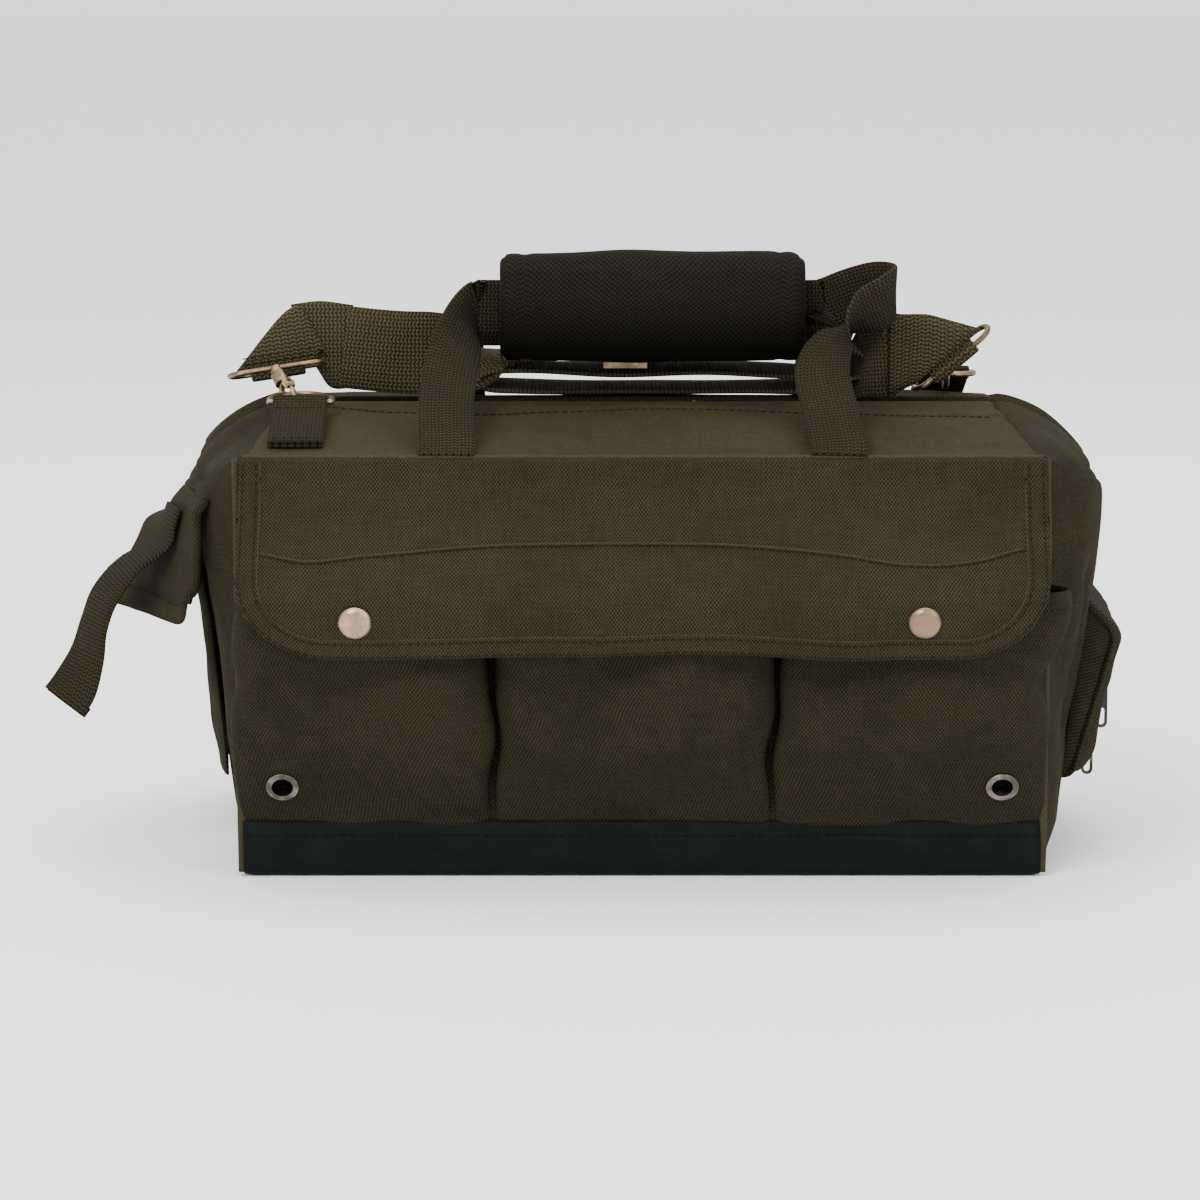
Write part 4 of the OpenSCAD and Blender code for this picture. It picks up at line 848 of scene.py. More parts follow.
def pocket_surface(x0, x1, seed):
    """Outer face of one pocket as a function of the turn round it and the height."""
    centre, half = (x0 + x1) / 2, (x1 - x0) / 2

    def surface(turn, z):
        share = (z - POCKET_FOOT) / (POCKET_TOP - POCKET_FOOT)
        depth = straight(POCKET_SHARES, share) * POCKET_BULGE
        x_share = rounded(-np.cos(turn), POCKET_POWER)
        y_share = np.maximum(np.abs(np.sin(turn)), 1e-6) ** POCKET_POWER
        full = arch(share) ** 0.7
        # The outer sides of the two outer pockets spread towards the ends, but for a pinch
        pinch = 6.0 * bell(z - 90, 9)
        spread = np.where(x_share > 0, 10.0 * smooth(0.6, 0.92, share) - pinch if x1 == HALF_W else 0.0,
                          4.0 * full - 0.5 * pinch if x0 == -HALF_W else 0.0)
        spread = spread * np.abs(x_share) ** 6 * smooth(0.0, 0.5, y_share)
        if x1 == HALF_W:
            spread = spread + np.where(x_share > 0, 3.0 * full * np.abs(x_share) ** 6 * y_share, 0)
        sag = -0.8 * full * np.cos(math.pi * x_share) * (1 - y_share**8)
        x = centre + half * x_share + np.sign(x_share) * (spread + sag)
        points = points_at(x, -WALL_Y - 0.2 - depth * y_share, z)
        calm = away_from(x, z, EYELET_X, EYELET_Z, 9, 22) * away_from(x, z, SNAP_X, SNAP_Z, 6, 20)
        calm = calm * smooth(0, 0.12, share)
        broad = ripple(points, 70, seed, (0.9, 1, 1.7)) * 2.6
        fine = ripples(points, (0.9, 28, seed + 40, (0.8, 1, 2.2)), (0.16, 13, seed + 50, (1, 1, 1.4)))
        pull = 2.2 * bell(np.abs(x_share) - 0.84, 0.09) * full * np.sin(z / 12 + seed)
        dent = -1.8 * bell(z - 98 - 6 * np.sin(x / 19 + seed), 6)
        points[..., 1] -= np.maximum((broad + fine + pull + dent) * calm * y_share**3, -4.5)
        # Sides that face each other across a pleat wander together
        for split in SPLITS:
            if min(abs(x0 - split), abs(x1 - split)) < 3:
                edge = -1 if x0 > split else 1
                weave = 2.0 * np.sin(z / 14 + split) + 0.7 * np.sin(z / 5.7 + split)
                near = smooth(0.72, 1.0, edge * x_share)
                weave = (weave - edge * (0.5 + 0.5 * np.sin(z / 9 + split))) * near
                points[..., 0] += weave * full * smooth(132, 118, z)
        return points

    return surface


def build_pocket(name, x0, x1, seed):
    surface = pocket_surface(x0, x1, seed)
    # Even steps round the section: close together at the rounded corners
    dense = np.linspace(0, math.pi, 721)
    length = distances(surface(dense, np.full_like(dense, 80.0))[:, :2])
    turns = np.interp(np.linspace(0, length[-1], 92), length, dense)
    heights = np.linspace(POCKET_FOOT - 3, POCKET_HEM_Z, 44)
    heights = np.concatenate([heights, [122.2, 123.4, 127, 130.5, POCKET_TOP]])
    turn, z = np.meshgrid(turns, heights, indexing="ij")
    grid = surface(turn, z)
    grid = grid + grid_normals(grid) * (0.6 * smooth(POCKET_HEM_Z + 0.5, POCKET_HEM_Z + 2.0, z))[..., None]
    made = sheet_mesh(grid, CANVAS - 0.2)
    # The pockets take the darker canvas, as painted shade under the flap
    obj = add_piece(name + "_canvas", made, canvas_dark, "bag", "canvas_dark", name)
    for ex in EYELET_X:
        if x0 < ex < x1:
            pierce(obj, (ex, EYELET_Y, EYELET_Z), EYELET_AXIS, EYELET_HOLE, EYELET_DEPTH)
            recall_cloth(obj.data, made[0], made[2])
    row_z = np.full_like(turns, POCKET_ROW_Z)
    normals = surface_normals(surface, turns, row_z, 0.01)
    outward = np.where(normals[:, 1:2] > 0.2, -normals, normals)
    add_stitches(name + "_stitches", [(surface(turns, row_z) + outward * 0.65, outward)], "bag")


# Walls
WALL_EDGE = 176.8


def settle(points):
    """Lets the back corners and the top's back edge give a little, as an empty bag's do."""
    points = np.array(points, float)
    x, y, z = points[..., 0], points[..., 1], points[..., 2]
    corner = smooth(110, 177, np.abs(x)) * smooth(30, 93, y) * arch(z / WALL_H)
    points[..., 1] -= corner * (4.5 + 1.5 * np.sin(z / 23 + x / 60))
    points[..., 0] -= np.sign(x) * corner * (2.0 + 1.2 * np.sin(z / 17 + 1.0))
    across = np.abs(x)
    low = between(across, 20, 50, 60, 86) + between(across, 104, 125, 150, 176)
    points[..., 2] -= 2.0 * low * smooth(55, 92, y) * smooth(150, 186, z)
    return points


def build_wall(name, side):
    """Flat wall between the corner seams, the back one a little slack in its middle."""
    grid = points_at(np.linspace(-WALL_EDGE, WALL_EDGE, 60)[:, None], side * WALL_Y,
                     np.linspace(1.7, WALL_H - 0.2, 40)[None, :])
    if side > 0:
        x, z = grid[..., 0], grid[..., 2]
        slack = np.cos(x / (2 * HALF_W) * math.pi) * arch(z / WALL_H)
        give = slack * (4.0 + ripple(grid, 90, 61) * 2.6) + ripple(grid, 40, 62) * 0.6
        grid[..., 1] += give * smooth(22, 48, z)
        grid = settle(grid)
    add_piece(name + "_canvas", sheet_mesh(grid, CANVAS, out=float(-side)), canvas, "bag", "canvas", name)


# Base: a coated tray up the front, under the bag and up the back, with a stitched upper edge
BASE_T = 1.4
BASE_CLEAR = 1.2
BASE_SWELL = 0.6
BASE_TURN = 2.5
BASE_ROW_Z = 18.2


def base_swell(points):
    return ripples(points, (0.8, 45, 71), (0.8, 120, 72))


def build_base():
    front_y = -HALF_D - BASE_CLEAR
    profile = [(front_y - BASE_SWELL * math.sin((BASE_UP - z) / BASE_UP * math.pi), z)
               for z in np.linspace(BASE_UP, BASE_TURN, 9)]
    profile += [(front_y + BASE_TURN * (1 - math.cos(a)), BASE_TURN - BASE_TURN * math.sin(a))
                for a in np.linspace(0, math.pi / 2, 5)[1:]]
    under = [(y, 0.0) for y in np.linspace(-88, 88, 12)]
    profile = np.array(profile + under + [(-y, z) for y, z in reversed(profile)])
    columns = np.linspace(-HALF_W, HALF_W, 90)
    grid = points_at(columns[:, None], profile[None, :, 0], profile[None, :, 1])
    grid[..., 1] += np.sign(grid[..., 1]) * smooth(0.5, 8, grid[..., 2]) * base_swell(grid)
    add_piece("base_coated", sheet_mesh(grid, BASE_T, out=-1.0), coated, "bag", "coated_canvas", "base_panel")
    rows = []
    for side in (-1, 1):
        line = points_at(columns, side * (HALF_D + BASE_CLEAR), BASE_ROW_Z)
        stand = BASE_SWELL * math.sin((BASE_UP - BASE_ROW_Z) / BASE_UP * math.pi) + 0.1
        line[:, 1] += side * (base_swell(line) + stand)
        rows.append((line, (0, side, 0)))
    add_stitches("base_stitches", rows, "bag", dark_thread, pitch=4.2, length=3.2)


# Ends: gussets that bulge from the corner seams, fold over at the shoulder and close in under the mouth
PLAN_SHARES = ((0.0, 1.0), (0.28, 1.0), (0.6, 0.84), (0.86, 0.5), (1.0, 0.05))
BULGES = {
    -1: ((0, 6), (15, 9.5), (40, 11.5), (70, 14), (95, 16.5), (112, 18.5), (128, 22), (142, 26), (155, 30),
         (165, 31.5), (190, 31)),
    1: ((0, 6), (15, 10), (35, 13), (60, 16), (85, 22), (105, 28), (120, 31.5), (140, 33), (165, 33),
        (190, 31)),
}
# Upright folds: distance across, depth, width, and the heights between which they fade
END_FOLDS = ((-70, 4.0, 5.0, 20, 150), (-52, 3.0, 6.0, 70, 176), (62, 3.6, 7.0, 20, 160))
SHOULDER_Z = 164.0
SHOULDER_X = 160.0


def end_bulge(y, z, side):
    return follow(BULGES[side], z) * follow(PLAN_SHARES, np.abs(y) / WALL_Y)


def over_end_z(y):
    """Height of the top over the ends, from the wall's top up to the crest and down into the zip's valley."""
    floor_z = CREST_Z - VALLEY_DROP
    return np.interp(abs(y), (0, VALLEY, CREST_Y, WALL_Y), (floor_z, floor_z, CREST_Z, WALL_H))


def end_line(y, side):
    """Pairs of x and z up the face of an end, round its shoulder and in under the mouth."""
    edge = abs(y) / WALL_Y
    top = over_end_z(y)
    corner = SHOULDER_Z + 22.0 * edge**3
    inner_x = SHOULDER_X + 16.5 * edge**2
    rise = np.linspace(2.0, corner, 400)
    face_x = HALF_W + end_bulge(np.full_like(rise, y), rise, side)
    arc = np.linspace(0, math.pi / 2, 90)[1:]
    flat = arc / (math.pi / 2)
    reach = max(face_x[-1] - inner_x - 8.0 * (1 - edge), 0.5)
    over_x = face_x[-1] - reach * (0.6 * (1 - np.cos(arc)) + 0.4 * flat)
    over_z = corner + (top - corner) * (0.6 * np.sin(arc) + 0.4 * flat)
    under_x = np.linspace(over_x[-1], min(over_x[-1] - 1.0, inner_x), 20)[1:]
    x = np.concatenate([face_x, over_x, under_x])
    z = np.concatenate([rise, over_z, np.full_like(under_x, top)])
    return np.stack([x, z], axis=1)


def end_grid(side):
    """Points of an end: columns from front seam to back seam, rows from the floor over the shoulder."""
    columns = []
    for y in WALL_Y * np.sin(np.linspace(-1, 1, 85) * math.pi / 2):
        line = end_line(y, side)
        lengths = distances(line)
        places = np.linspace(0, 1, 84) * lengths[-1]
        columns.append(points_at(side * np.interp(places, lengths, line[:, 0]), y,
                                 np.interp(places, lengths, line[:, 1])))
    grid = np.array(columns)
    y, z = grid[..., 1], grid[..., 2]
    free = smooth(1.0, 0.86, np.abs(y) / WALL_Y) * smooth(0, 14, z)
    seed = 81 if side > 0 else 91
    out = ripples(grid, (2.9, 75, seed, (1, 1, 1.7)), (1.0, 32, seed + 1, (1, 0.8, 2.0)))
    out = np.clip(out - 1.0, -5.0, 2.0) * (smooth(20, 34, np.abs(y)) * 0.6 + 0.4)
    out = out - 2.6 * bell(z - 168 - 0.14 * np.abs(y), 3.2)
    for place, deep, wide, low, high in END_FOLDS:
        wander = place + 5 * np.sin(z / 31.0 + seed)
        out = out - deep * bell(y - wander, wide) * between(z, low, low + 25, high - 25, high)
    return settle(grid + grid_normals(grid) * side * (out * free)[..., None])


def build_end(name, side):
    made = sheet_mesh(end_grid(side), CANVAS, out=float(side))
    add_piece(name + "_canvas", made, canvas_gusset, "bag", "canvas", name)


# Tops: panels from the walls' seams up to the crest beside the zip, each with a stitched ridge
TOP_ROWS = 60
TOP_EDGE = 176.4
TOP_END_X = 161.0
TOP_END_Z = CREST_Z - 1.5
TOP_END_DROP = 15.5
TOP_FULLNESS = 1.2
RIDGE_H = 0.9
RIDGE_Y = ((-177, 20), (-150, 21), (-120, 27), (-40, 29), (60, 30), (130, 33), (177, 36))


def top_height(y):
    """Height of the top panels between wall and crest, slightly full."""
    share = np.clip((WALL_Y - np.abs(y)) / (WALL_Y - CREST_Y), 0, 1)
    return WALL_H + (CREST_Z - WALL_H) * share + TOP_FULLNESS * np.sin(share * math.pi)


def levelled(values):
    """Mean of each value and its four neighbours."""
    padded = np.pad(np.asarray(values, float), 2, mode="edge")
    return sum(padded[k:k + len(values)] for k in range(5)) / 5


def build_top(name, side):
    across = np.concatenate([
        np.linspace(WALL_Y + 0.3, CREST_Y + 2, TOP_ROWS),
        [CREST_Y + 0.8, CREST_Y, VALLEY + 2, VALLEY + 0.6, VALLEY], np.full(5, VALLEY),
    ])
    drop = np.concatenate([np.zeros(TOP_ROWS), [-0.1, 0.0, 0.4, 1.0, 2.0], np.linspace(3.0, VALLEY_DROP, 5)])
    columns = np.linspace(-TOP_EDGE, TOP_EDGE, 100)
    grid = points_at(columns[:, None], side * across[None, :], (top_height(side * across) - drop)[None, :])
    limit = TOP_END_Z - np.clip(np.abs(columns) - TOP_END_X, 0, None)
    grid[..., 2] = np.minimum(grid[..., 2], limit[:, None])
    x, y = grid[..., 0], np.abs(grid[..., 1])
    loose = between(y, CREST_Y, CREST_Y + 14, WALL_Y - 12, WALL_Y) * smooth(176, 150, np.abs(x))
    sag = ripples(grid, (1.8, 80, 101 + side, (1.4, 1, 1)), (0.5, 30, 104 + side, (1.6, 1, 1)))
    grid[..., 2] += (sag - 0.9) * loose
    ridge = follow(RIDGE_Y, x)
    grid[..., 2] += RIDGE_H * smooth(ridge + 0.7, ridge - 0.7, y) * between(x, -161, -150, 164, 172)
    row_x = np.linspace(-158, 168, 100)
    ridge = follow(RIDGE_Y, row_x)
    height = []
    for a, b in zip(row_x, ridge):
        line = grid[int(np.argmin(np.abs(columns - a)))][:TOP_ROWS][::-1]
        height.append(np.interp(b + 0.9, np.abs(line[:, 1]), line[:, 2]))
    path = points_at(row_x, side * (ridge + 1.0), levelled(height) + 0.1)
    normal = unit(np.array([0, side * 0.17, 1.0]))
    add_stitches(name + "_stitches", [(path, normal)], "bag", radius=BOLD_THREAD)
    made = sheet_mesh(settle(grid), CANVAS, out=-float(side))
    # The top panels take the lighter canvas, as painted light
    add_piece(name + "_canvas", made, canvas_top_painted_light, "bag", "canvas", name)


def build_seams():
    """Sewn edges: up the four corners, and along the top of the walls and the ends."""
    parts = []
    for sx in (-1, 1):
        for sy in (-1, 1):
            path = points_at(sx * (HALF_W + 0.8), sy * (WALL_Y + 0.6), np.linspace(1.5, WALL_H - 1, 60))
            path[:, 0] += sx * ripple(path, 50, 111) * 0.4
            parts.append(tube(settle(path), CORNER_SEAM))
            y = np.linspace(sy * (WALL_Y + 0.3), sy * (CREST_Y + 1), 40)
            z = np.minimum(top_height(y), TOP_END_Z - TOP_END_DROP) + 0.3
            parts.append(tube(points_at(sx * (HALF_W - 0.8), y, z), END_SEAM))
    x = np.linspace(-176, 176, 90)
    parts.append(tube(settle(points_at(x, WALL_Y + 0.9, WALL_H - 0.2)), TOP_SEAM))
    parts.append(tube(points_at(x, -WALL_Y - 0.5, WALL_H - 0.5), TOP_SEAM))
    add_piece("body_seams", join(*parts), seam_cloth, "bag", "canvas")


# Handles, as in the part. The tables have shares of the spread, of the reach to the grip and of its height,
# and width directions
HANDLE_SPREAD = 172.0
HANDLE_Y = 95.1
HANDLE_Z = 188.8
FRONT_GRIP = (-14.0, CREST_Z + 43.0)
BACK_GRIP = (1.6, CREST_Z + 36.0)
FRONT_HANDLE = (
    ((-1, 0, 0), (1, 0, 0)), ((-1, 0.08, 0.08), (1, 0, 0)), ((-1.01, 0.34, 0.34), (1, 0, 0)),
    ((-0.99, 0.6, 0.6), (0.97, 0.1, -0.15)), ((-0.95, 0.8, 0.8), (0.75, 0.3, -0.6)),
    ((-0.915, 0.94, 0.94), (0.35, 0.3, -0.9)), ((-0.86, 1, 1), (0.05, 0.1, -1)), ((-0.77, 1, 1), (0, 0, -1)),
    ((0, 1, 1), (0, 0, -1)), ((0.88, 1, 1), (0, 0, -1)), ((0.98, 1, 1.02), (0, 0, -1)),
    ((1.11, 0.98, 1.1), (0, 0.05, -1)), ((1.24, 0.93, 1.16), (0, 0.1, -1)),
    ((1.32, 0.84, 1.15), (0, 0.05, -1)),
    ((1.26, 0.75, 1.08), (-0.15, 0.15, -1)), ((1.12, 0.71, 0.96), (-0.5, 0.3, -0.85)),
    ((0.99, 0.66, 0.78), (-0.9, 0.3, -0.4)), ((0.935, 0.51, 0.55), (-1, 0.1, -0.1)),
    ((0.97, 0.27, 0.29), (-1, 0, 0)), ((1, 0.07, 0.08), (-1, 0, 0)), ((1, 0, 0), (-1, 0, 0)),
)
BACK_HANDLE = (
    ((-1, 0, 0), (1, 0, 0)), ((-1, 0.17, 0.33), (1, 0, 0)), ((-1, 0.42, 0.69), (1, 0, 0)),
    ((-1.01, 0.7, 0.91), (0.85, 0.3, 0.5)), ((-0.99, 0.9, 0.98), (0.3, 0.3, 0.9)),
    ((-0.9, 0.99, 1), (0, 0.1, 1)), ((-0.82, 1, 1), (0, 0, 1)), ((0, 1, 1), (0, 0, 1)),
    ((0.9, 1, 1), (0, 0, 1)), ((0.99, 0.98, 1), (0, 0.1, 1)), ((1.07, 0.88, 0.98), (0.3, 0.3, 0.9)),
    ((1.06, 0.68, 0.9), (0.85, 0.3, 0.5)), ((1.01, 0.42, 0.69), (1, 0, 0)), ((1, 0.17, 0.33), (1, 0, 0)),
    ((1, 0, 0), (1, 0, 0)),
)


def build_handle(name, table, side, grip, cup=0.0):
    root_y = side * HANDLE_Y
    stations = []
    for (x, y, z), wide in table:
        place = (x * HANDLE_SPREAD / 2, root_y + y * (grip[0] - root_y), HANDLE_Z + z * (grip[1] - HANDLE_Z))
        stations.append((np.array(place), np.array(wide, float)))
    made = band_mesh(stations, HANDLE_W, WEB_T, cup=cup)
    add_piece(name + "_webbing", made, webbing, name, "webbing", name)


# Grip wrap: an oval roll, softly drawn in at its ends, closed round the webbing and two flat pads beside it
WRAP_X = 5.0
WRAP_L = 137.0
WRAP_H = 35.0
WRAP_D = 22.0
WRAP_WALL = 7.2
WRAP_TURN = 2.6
WRAP_POWER = 2 / 2.35
WRAP_ROWS = (0.078, 0.922)
PAD_OUT = 4.0
PAD_INSET = 5.0
PAD_REACH = 12.6
PAD_HALF = 3.2


def build_wrap():
    along = np.linspace(WRAP_TURN, WRAP_L - WRAP_TURN, 74)
    along = np.concatenate([[0, 0.5, 1.3], along, [WRAP_L - 1.3, WRAP_L - 0.5, WRAP_L]])
    around = np.linspace(0, 2 * math.pi, 64, endpoint=False)
    share = along / WRAP_L
    end = np.minimum(along, WRAP_L - along)
    full = 1.0 - sum(0.035 * bell(share - row, 0.012) for row in WRAP_ROWS)
    scale = full * (0.96 + 0.04 * np.sin(share * math.pi)) * (1 - 0.07 * (1 - smooth(0, WRAP_TURN, end)))
    shape_y = rounded(np.cos(around), WRAP_POWER) * WRAP_D / 2
    shape_z = rounded(np.sin(around), WRAP_POWER) * WRAP_H / 2
    grid = points_at((WRAP_X - WRAP_L / 2 + along)[None, :], FRONT_GRIP[0] + shape_y[:, None] * scale[None, :],
                     FRONT_GRIP[1] + shape_z[:, None] * scale[None, :])
    normals = -grid_normals(grid, True)
    out = ripples(grid, (0.7, 48, 121, (1.5, 1, 1)), (0.3, 20, 122, (2.2, 1, 1))) - 0.7
    grid += normals * (out * smooth(0, 6, end)[None, :])[..., None]
    verts, faces, cloth = sheet_mesh(grid, WRAP_WALL, out=-1.0, wrap_u=True)
    # The inner side keeps the outer side's places along the wrap
    verts[len(verts) // 2:, 0] = verts[:len(verts) // 2, 0]
    made = verts, faces, cloth
    obj = add_piece("grip_wrap_padding", made, wrap_cloth, "front_handle", "webbing", "grip_wrap")
    rows = []
    for row in WRAP_ROWS:
        i = int(np.argmin(np.abs(share - row)))
        around_normals = np.concatenate([normals[:, i], normals[:1, i]])
        rows.append((np.concatenate([grid[:, i], grid[:1, i]]) + around_normals * 0.1, around_normals))
    add_stitches("grip_wrap_stitches", rows, "front_handle")
    pads = []
    reach = WRAP_L / 2 - PAD_INSET
    for side in (-1, 1):
        middle = FRONT_GRIP[0] + side * PAD_OUT
        path = points_at(np.linspace(WRAP_X - reach, WRAP_X + reach, 12), middle, FRONT_GRIP[1])
        verts, faces, cloth = tube(path, PAD_REACH, 20)
        verts[:, 1] = middle + np.clip((verts[:, 1] - middle) * 0.5, -PAD_HALF, PAD_HALF)
        pads.append((verts, faces, cloth))
    add_piece("grip_wrap_pads", join(*pads), wrap_cloth, "front_handle", "webbing")


# Shoulder strap: one length of webbing laid on the top in folds, sewn round a loop of wire at each end. The
# table has shares of the bag's half width and depth and of the strap's width, and width directions
BAR_LEFT = np.array([-165.5, -6.75, 215.2])
BAR_RIGHT = np.array([142.74, -5.16, 219.09])
LEFT_CUT = (-0.76, -0.072, 0.632)
RIGHT_CUT = 0.667
CUT_GAP = 0.013
ROLL_LEFT = math.radians(-9.0)
ROLL_RIGHT = math.radians(40.0)
SLEEVE_R = 1.3 + 0.12 + WEB_T
SLEEVE_W = 25.0
FORWARD = (0, -1.0, 0)
LEAF_T = 2.2
# How much faster the right end's upper line runs to its turn, with its lower line still on the way to the bar
FOLD_RATE = 1.35
# Places of the left end's free corners, as pairs of x and z
LEFT_LOW = np.array([-142.5, 221.5])
LEFT_TOP_BEND = (-146.0, 246.9)
LEFT_LOW_BENDS = ((-148.0, 216.0), (-141.5, 207.2))
LEFT_EDGES = (245.0, 207.0)
STRAP_TABLE = (
    ((LEFT_CUT[0] - CUT_GAP * 0.4, LEFT_CUT[1], LEFT_CUT[2]), (0, 0, 1)), ((-0.69, -0.06, 0.59), (0, 0, 1)),
    ((-0.62, -0.03, 0.555), (0, 0.05, 1)), ((-0.55, 0.01, 0.535), (0, 0.2, 0.98)),
    ((-0.49, 0.08, 0.5), (0, 0.5, 0.87)), ((-0.44, 0.17, 0.45), (0, 0.85, 0.5)),
    ((-0.39, 0.23, 0.435), (0, 1, 0.1)), ((-0.34, 0.25, 0.435), (0, 1, 0)),
    ((-0.11, 0.25, 0.46), (0, 1, 0)), ((0.11, 0.25, 0.45), (0, 1, 0)),
    ((0.34, 0.25, 0.475), (0, 1, 0)), ((0.48, 0.25, 0.55), (0, 1, 0)), ((0.55, 0.25, 0.55), (0, 1, 0)),
    ((0.595, 0.25, 0.41), (0, 1, 0)), ((0.575, 0.25, 0.225), (0, 1, 0)), ((0.52, 0.25, 0.18), (0, 1, 0)),
    ((0.4, 0.25, 0.235), (0, 1, 0)), ((0.17, 0.25, 0.285), (0, 1, 0)), ((-0.11, 0.25, 0.26), (0, 1, 0)),
    ((-0.34, 0.25, 0.285), (0, 1, 0)), ((-0.4, 0.25, 0.25), (0, 1, 0)), ((-0.42, 0.25, 0.165), (0, 1, 0)),
    ((-0.4, 0.25, 0.08), (0, 1, 0)), ((-0.31, 0.25, 0.055), (0, 1, 0)), ((0, 0.25, 0.055), (0, 1, 0)),
    ((0.34, 0.25, 0.055), (0, 1, 0)), ((0.5, 0.25, 0.05), (0, 1, 0)), ((0.53, 0.25, 0.09), (0, 1, 0.03)),
    ((0.56, 0.19, 0.35), (0, 0.88, 0.47)), ((0.585, 0.05, 0.47), (0, 0.4, 0.92)),
    ((RIGHT_CUT - 3 * CUT_GAP, -0.055, 0.53), (0, 0, 1)), ((RIGHT_CUT - CUT_GAP / 2, -0.055, 0.53), (0, 0, 1)),
)


def over_top(s):
    return np.array([s[0] * HALF_W, s[1] * WALL_Y, CREST_Z + s[2] * STRAP_W])


def sleeve(centre, roll):
    """Webbing turned round a bar that runs level or rolled in the XZ plane."""
    bar = np.array([math.cos(roll), 0.0, -math.sin(roll)])
    back = np.array([0, 1.0, 0])
    up = np.cross(bar, back)
    reach = SLEEVE_R - WEB_T / 2
    turns = np.linspace(0, 2 * math.pi, 33)
    stations = [(centre + reach * (math.cos(a) * back + math.sin(a) * up), bar) for a in turns]
    return band_mesh(stations, SLEEVE_W, WEB_T - 0.3, steps=1)


def leaf(high, low, y, across):
    """Flat sheet between two lines in the XZ plane, with its weave lying along a given direction."""
    places = np.linspace(0, 1, 22)
    knots = np.linspace(0, 1, len(high))
    high, low = (np.stack([follow(list(zip(knots, column)), places) for column in zip(*line)], axis=1)
                 for line in (high, low))
    shares = np.linspace(0, 1, 15)
    flat = low[:, None] + (high - low)[:, None] * shares[None, :, None]
    grid = points_at(flat[..., 0], 0, flat[..., 1])
    free = np.sin(shares * math.pi)[None, :] * np.sin(places * math.pi)[:, None]
    grid[..., 1] = y - LEAF_T / 2 + (ripple(grid, 30, 133) * 0.5 - 0.3) * free
    verts, faces, cloth = sheet_mesh(grid, LEAF_T)
    cloth[:, 0] = verts[:, [0, 2]] @ across
    cloth[:, 1] = verts[:, [0, 2]] @ np.array([-across[1], across[0]])
    return verts, faces, cloth


def fold_plate(corners, y):
    """The strap's right end folded flat on itself and sewn: a thick leaf between the cut and the bar."""
    low_end, tip, high_end, high_start, low_start = corners
    shares = np.linspace(0, 1, 9)
    lines = []
    for s in np.linspace(0, 1, 14):
        low = low_start + (low_end - low_start) * s
        high = high_start + (high_end - high_start) * min(s * FOLD_RATE, 1)
        if s * FOLD_RATE > 1:
            high = high_end + (tip - high_end) * (s * FOLD_RATE - 1) / (FOLD_RATE - 1)
        lines.append([low + (high - low) * q for q in shares])
    grid = np.array(lines)
    swell = np.sin(shares * math.pi)[None, :] * np.linspace(0.2, 1, len(lines))[:, None]
    grid[..., 1] = y - WEB_T * 0.7 - 0.5 * swell
    return sheet_mesh(grid, WEB_T * 1.4, out=-1.0)


def add_strap_end(name, made, rows):
    """A sewn end and its stitches, with their placing baked into their meshes."""
    pieces = (
        add_piece(name + "_webbing", made, strap_webbing, None, "webbing", name),
        add_stitches(name + "_stitches", rows, None),
    )
    for obj in pieces:
        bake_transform(obj)


def build_strap():
    stations = [(over_top(s), np.array(w, float)) for s, w in STRAP_TABLE]
    made = band_mesh(stations, STRAP_W, WEB_T, wave=0.45, seed=131)
    add_piece("shoulder_strap_webbing", made, strap_webbing, "bag", "webbing", "shoulder_strap")


def build_left_end():
    """The left end: a raised leaf at the bar and a level one at the cut."""
    along = np.array([math.cos(ROLL_LEFT), -math.sin(ROLL_LEFT)])
    off = np.array([-along[1], along[0]])
    root = BAR_LEFT[[0, 2]] + off * (SLEEVE_R - 1.2)
    cut = over_top(LEFT_CUT)
    cut_x = cut[0] + 3.5
    top, wide = root + (10.3, 28.5), along * 18.9
    raised = leaf([root - wide, top - (9.5, 7.0), top], [root + wide, LEFT_LOW + (-3.0, 3.0), LEFT_LOW],
                  BAR_LEFT[1] - 1.0, -along)
    level = leaf([top - (4.0, 1.0), LEFT_TOP_BEND, (cut_x, LEFT_EDGES[0])],
                 [*LEFT_LOW_BENDS, (cut_x, LEFT_EDGES[1])], BAR_LEFT[1] + 1.2, np.array([0, 1.0]))
    rows = []
    for up in (2.6, 5.2):
        ends = np.array([root + off * up + along * reach for reach in (-15.5, 17.5)])
        rows.append((points_at(ends[:, 0], BAR_LEFT[1] - 2.3, ends[:, 1]), FORWARD))
    made = join(raised, level, sleeve(BAR_LEFT, ROLL_LEFT))
    add_strap_end("strap_end_left", made, rows)


def build_right_end():
    along = np.array([math.cos(ROLL_RIGHT), 0, math.sin(ROLL_RIGHT)])
    off = np.array([-along[2], 0, along[0]])
    root = BAR_RIGHT + off * (SLEEVE_R + 0.2)
    cut = over_top((RIGHT_CUT - 0.2 * CUT_GAP, -0.055, 0.53))
    half = STRAP_W / 2
    corners = np.array([
        root - along * half, root + along * half, root + (-half / 2, 0, half),
        (cut[0] - 4.5, BAR_RIGHT[1], cut[2] + half), (cut[0] - 4.5, BAR_RIGHT[1], cut[2] - half),
    ])
    rows = []
    for inward in (3.4, 6.2):
        path = np.array([root + off * inward + along * reach for reach in (-STRAP_W * 0.42, STRAP_W * 0.36)])
        path[:, 1] = BAR_RIGHT[1] - WEB_T * 0.7 - 0.5
        rows.append((path, FORWARD))
    made = join(fold_plate(corners, BAR_RIGHT[1]), sleeve(BAR_RIGHT, -ROLL_RIGHT))
    add_strap_end("strap_end_right", made, rows)


